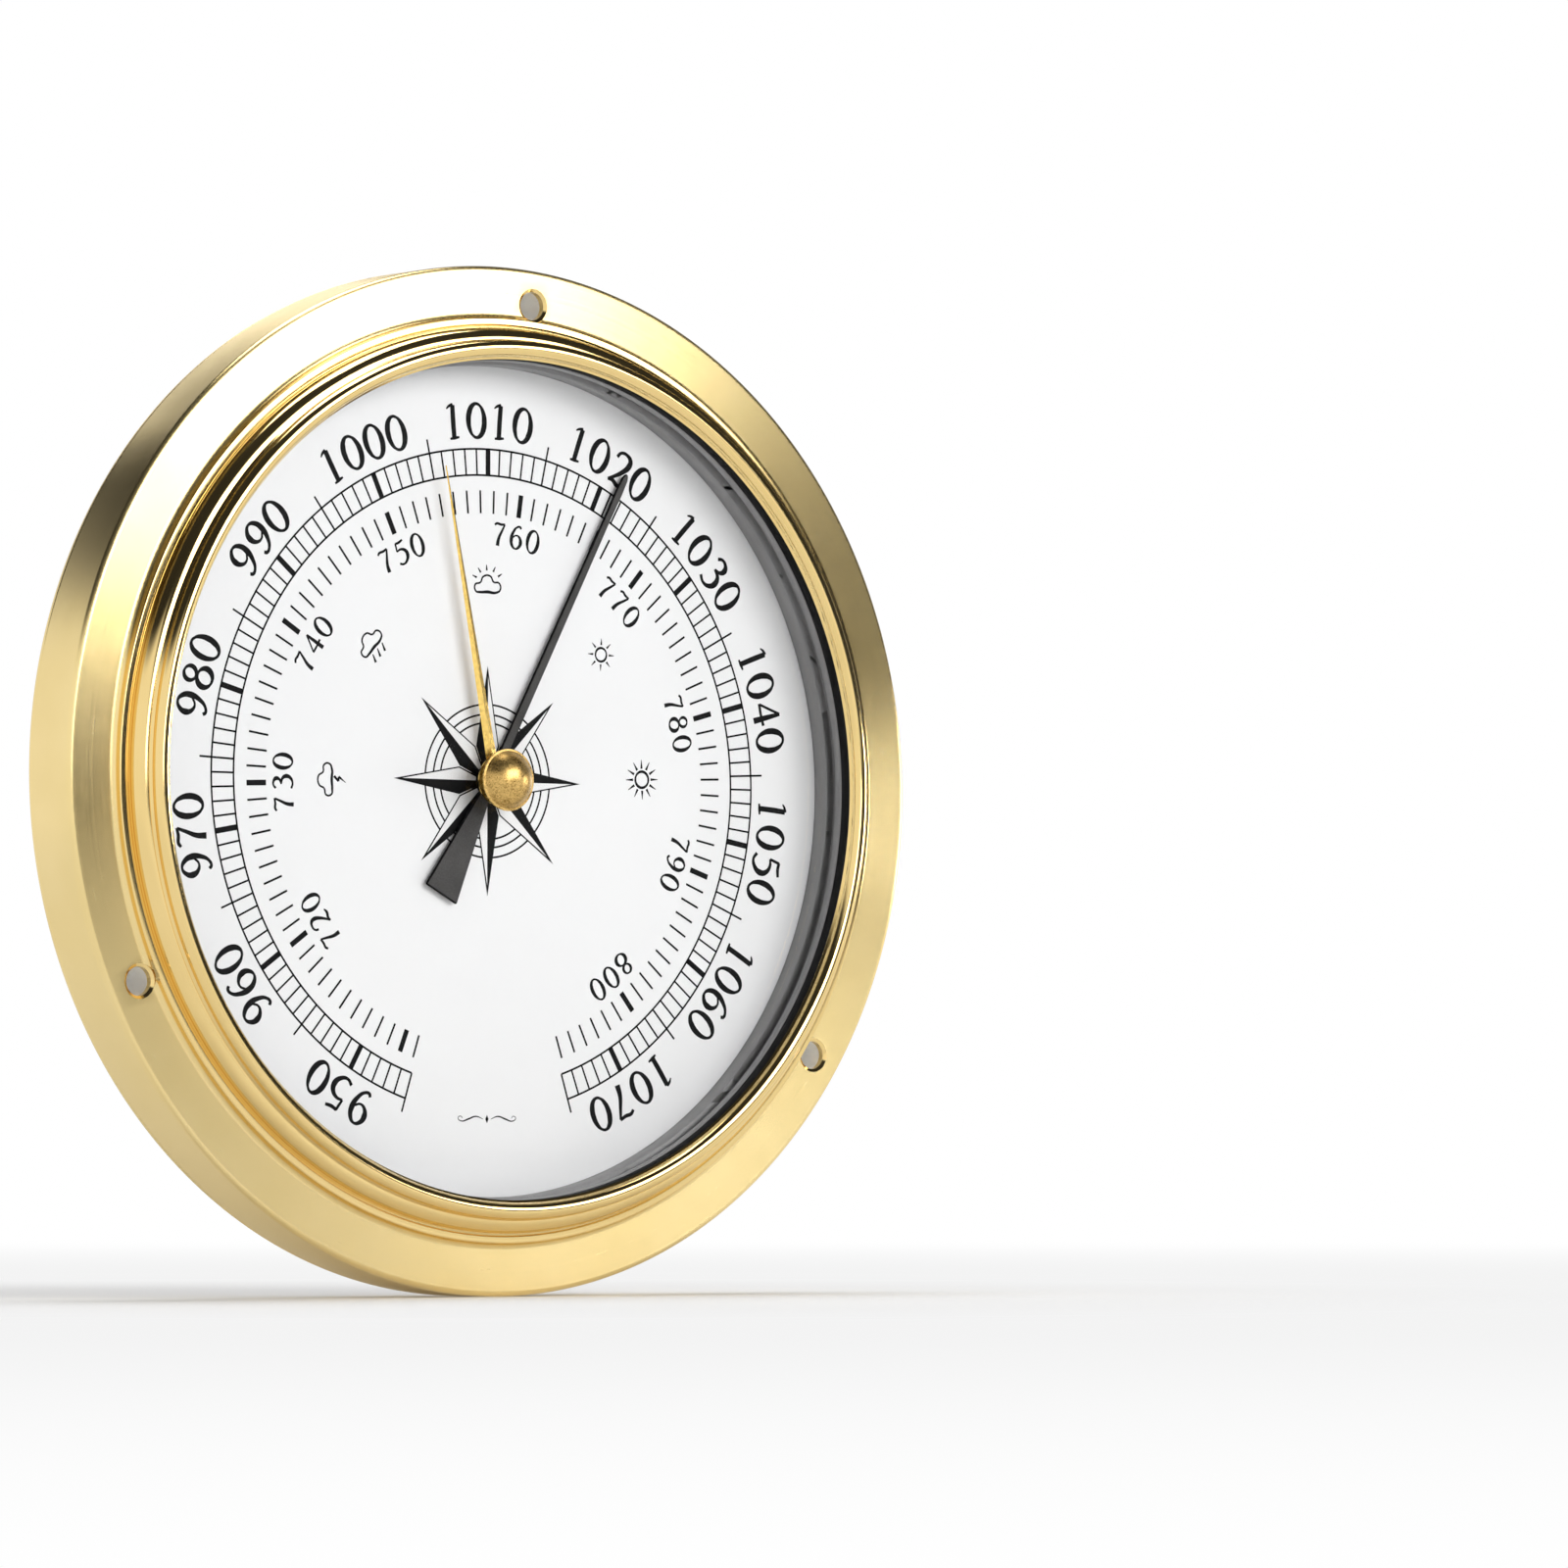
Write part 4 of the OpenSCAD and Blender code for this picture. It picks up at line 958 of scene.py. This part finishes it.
def hole_drill():
    """The access hole and the two pinholes."""
    drill = bmesh.new()
    for spot, radius, steps in ((Vector((0, 0, 0)), 4.4, 64), (on_cover(-22, 31.4), 0.8, 32),
                                (on_cover(158, 31.4), 0.8, 32)):
        hole = lathe([(0, CUT_BACK), (radius, CUT_BACK), (radius, CUT_FRONT), (0, CUT_FRONT)], steps)
        add_to(drill, hole, Matrix.Translation(spot))
    return raw_object(drill, "hole_drill")


def keyhole_punch():
    """The keyhole, round below and slotted outward."""
    big, slot = 4.9, 2.3
    join = math.degrees(math.asin(slot / big))
    outline = arc((0, 27.1), big, 90 + join, 450 - join, 56)
    outline += arc((0, 32.2), slot, 0, 180, 20)
    punch = plate(outline, CUT_BACK, CUT_FRONT)
    punch.transform(turned(COVER_TURN))
    return raw_object(punch, "keyhole_punch")


def ring_press():
    """The two pressed witness rings."""
    inner, outer, depth = 3.75, 4.0, 0.15
    back, front = COVER_OUT - 1.0, COVER_OUT + depth
    press = bmesh.new()
    for angle in (-45, 135):
        ring = lathe([(inner, back), (outer, back), (outer, front), (inner, front)], steps=64)
        add_to(press, ring, Matrix.Translation(on_cover(angle, 29.6)))
    return raw_object(press, "ring_press")


def make_cover():
    """Grained cover with keyhole, holes and pressed witness rings."""
    disc = lathe([(0, COVER_OUT), (COVER - 0.2, COVER_OUT), (COVER - 0.06, COVER_OUT + 0.05),
                  (COVER, COVER_OUT + 0.2), (COVER, COVER_IN), (0, COVER_IN)], steps=192)
    obj = raw_object(disc, "grained_back_cover")
    bored(obj, hole_drill())
    bored(obj, keyhole_punch())
    bored(obj, ring_press())
    finish(obj, "case", [COVER_GREY], ["back_cover"], 30.0)


make_bezel()
make_rear_ring()
make_case_ring()
make_glass_stack()
make_glass()
make_scales()
make_numerals()
make_weather_signs()
make_rose()
make_pointer()
make_set_hand()
make_knob()
make_stems()
make_drum()
make_cover()

for node, body, slot, material, width in (
        ("carrier_plate", "case", "black_plate", PLATE_BLACK, 0.08),
        ("carrier_clips", "case", "steel", BURNISHED, 0.08),
        ("carrier_screws", "case", "steel", STEEL, 0.08),
        ("front_plate", "case", "movement_brass", GEAR_BRASS, 0.08),
        # The brass base plate takes a near-black colour as painted shade, for the dark inside the cover's
        # centre hole.
        ("base_plate", "case", "movement_brass", BRASS_DARK_AS_SHADE, 0.08),
        ("bridge", "case", "movement_brass", GEAR_BRASS, 0.08),
        ("base_screws", "case", "steel", STEEL, 0.08),
        ("adjusting_screw", "adjuster", "steel", BURNISHED, 0.1)):
    softened(node, body, material, width)

flexed("capsule_front", NICKEL)
flexed("capsule_spring", STEEL)

# CAD pieces that stay as they are, with their finish
KEPT = {
    "screw_ferrules": NYLON, "dial": WHITE, "pointer_arbor": STEEL, "pinion": GEAR_BRASS,
    "hairspring": STEEL, "hairspring_collet": GEAR_BRASS, "hairspring_stud": GEAR_BRASS,
    "plate_pillars": GEAR_BRASS, "bridge_pillars": GEAR_BRASS, "capsule_rear": NICKEL,
    "capsule_stud": GEAR_BRASS, "rocking_shaft": STEEL, "rocker_arm": GEAR_BRASS,
    "rocker_crank": GEAR_BRASS, "shaft_brackets": GEAR_BRASS, "link_rod": STEEL, "sector_gear": GEAR_BRASS,
    "sector_arbor": STEEL,
}
for name, material in KEPT.items():
    mesh = nodes[name].data
    mesh.materials.clear()
    mesh.materials.append(material)


# Camera at the photograph's place, turned a little to the right of the instrument

# The photograph's width, focal length and shifts, in its pixels
PHOTO_WIDTH = 1600.0
FOCAL = 8677.8
TO_THE_RIGHT = 287.7
DOWNWARD = 3.4

# The camera's own measures, in millimetres and metres
SENSOR = 36.0
EYE = Vector((-0.7027, -0.9780, -0.0538))
FACE_CENTRE = Vector((0, -FACE / MM, 0))


def look_along(obj, direction):
    """Points a camera or lamp."""
    obj.rotation_euler = direction.to_track_quat("-Z", "Y").to_euler()


camera = bpy.data.cameras.new("camera")
camera.sensor_width = SENSOR
camera.lens = FOCAL / PHOTO_WIDTH * SENSOR
camera.clip_start = 0.05
camera.clip_end = 50.0
camera_object = placed("camera", camera)
camera_object.location = EYE
aim = (FACE_CENTRE - EYE).normalized()
right = aim.cross(Vector((0, 0, 1))).normalized()
up = right.cross(aim)
look_along(camera_object, aim + right * (TO_THE_RIGHT / FOCAL) - up * (DOWNWARD / FOCAL))
bpy.context.scene.camera = camera_object


# Floor, lamps and world

PLAIN_WHITE = (1, 1, 1, 1)


def make_floor():
    """White floor that keeps the instrument's shadow and fades into the background."""
    bm = bmesh.new()
    bmesh.ops.create_circle(bm, cap_ends=True, segments=96, radius=40.0)
    mesh = bpy.data.meshes.new("studio_floor")
    bm.to_mesh(mesh)
    bm.free()
    mesh.transform(Matrix.Translation((0, 0, -(FLANGE + 0.02) / MM)))
    white = Finish("studio_floor_white")
    mottle = white.noise(300.0, 2.0, 0.5)
    white.shade(Base_Color=white.ramp(mottle, (0.3, (0.92, 0.92, 0.92)), (0.7, (0.94, 0.94, 0.94))),
                Roughness=0.6, Specular_IOR_Level=0.1)
    reach = white.vector("LENGTH", white.place).outputs["Value"]
    far = white.step(reach, 250.0, 900.0)
    near = white.step(reach, 74.0, 200.0)
    strength = white.between(far, 0.9, 1.0)
    glow = white.node("ShaderNodeEmission", {"Color": PLAIN_WHITE, "Strength": strength})
    share = white.maths("MULTIPLY", white.between(near, 0.1, 1.0), white.seen())
    both = white.node("ShaderNodeMixShader", {0: share, 1: white.shader.outputs[0], 2: glow.outputs[0]})
    white.feed(white.tree.nodes["Material Output"].inputs["Surface"], both.outputs[0])
    mesh.materials.append(white.mat)
    placed("studio_floor", mesh)


def make_softbox(name, place, width, height, power):
    """A soft rectangular studio lamp, pointed at the instrument."""
    lamp = bpy.data.lights.new(name, "AREA")
    lamp.shape = "RECTANGLE"
    lamp.size = width
    lamp.size_y = height
    lamp.energy = power
    obj = placed(name, lamp)
    obj.location = place
    obj.visible_camera = False
    look_along(obj, -Vector(place))


def make_room():
    """White studio round the instrument, darker on the side that faces the dial."""
    dark_side, darkest, plain_level = (0.75, -0.66, 0.0), 0.03, 0.18
    world = bpy.data.worlds.new("studio")
    bpy.context.scene.world = world
    world.use_nodes = True
    world.node_tree.nodes.clear()
    room = Wiring(world.node_tree)
    where = room.node("ShaderNodeTexCoord").outputs["Generated"]
    height = room.node("ShaderNodeSeparateXYZ", {0: where}).outputs["Z"]
    facing = room.vector("DOT_PRODUCT", where, dark_side).outputs["Value"]
    raised = room.maths("MULTIPLY_ADD", room.step(facing, 0.1, 0.8), 0.5, height)
    wall = room.between(room.step(raised, 0.34, 0.5), 1.0, darkest)
    around = room.between(room.seen(), plain_level, wall)
    camera_ray = room.node("ShaderNodeLightPath").outputs["Is Camera Ray"]
    strength = room.between(camera_ray, around, 1.0)
    sky = room.node("ShaderNodeBackground", {"Color": PLAIN_WHITE, "Strength": strength})
    room.node("ShaderNodeOutputWorld", {"Surface": sky.outputs[0]})


make_floor()

# Name, place and size in metres, and watts
for name, place, width, height, power in (
        ("front_box", (0.55, -1.53, 0.6), 1.4, 0.72, 18.0),
        ("left_box", (-0.1, -1.7, 0.3), 0.5, 0.5, 2.5),
        ("side_box", (1.6, -0.62, 0.05), 0.34, 0.22, 3.4),
        ("back_box", (0.35, 1.3, 0.85), 0.8, 0.3, 1.2),
        ("overhead_box", (0.2, 0.2, 1.7), 1.0, 1.0, 16.5)):
    make_softbox(name, place, width, height, power)

make_room()

bpy.context.scene.view_settings.view_transform = "Standard"
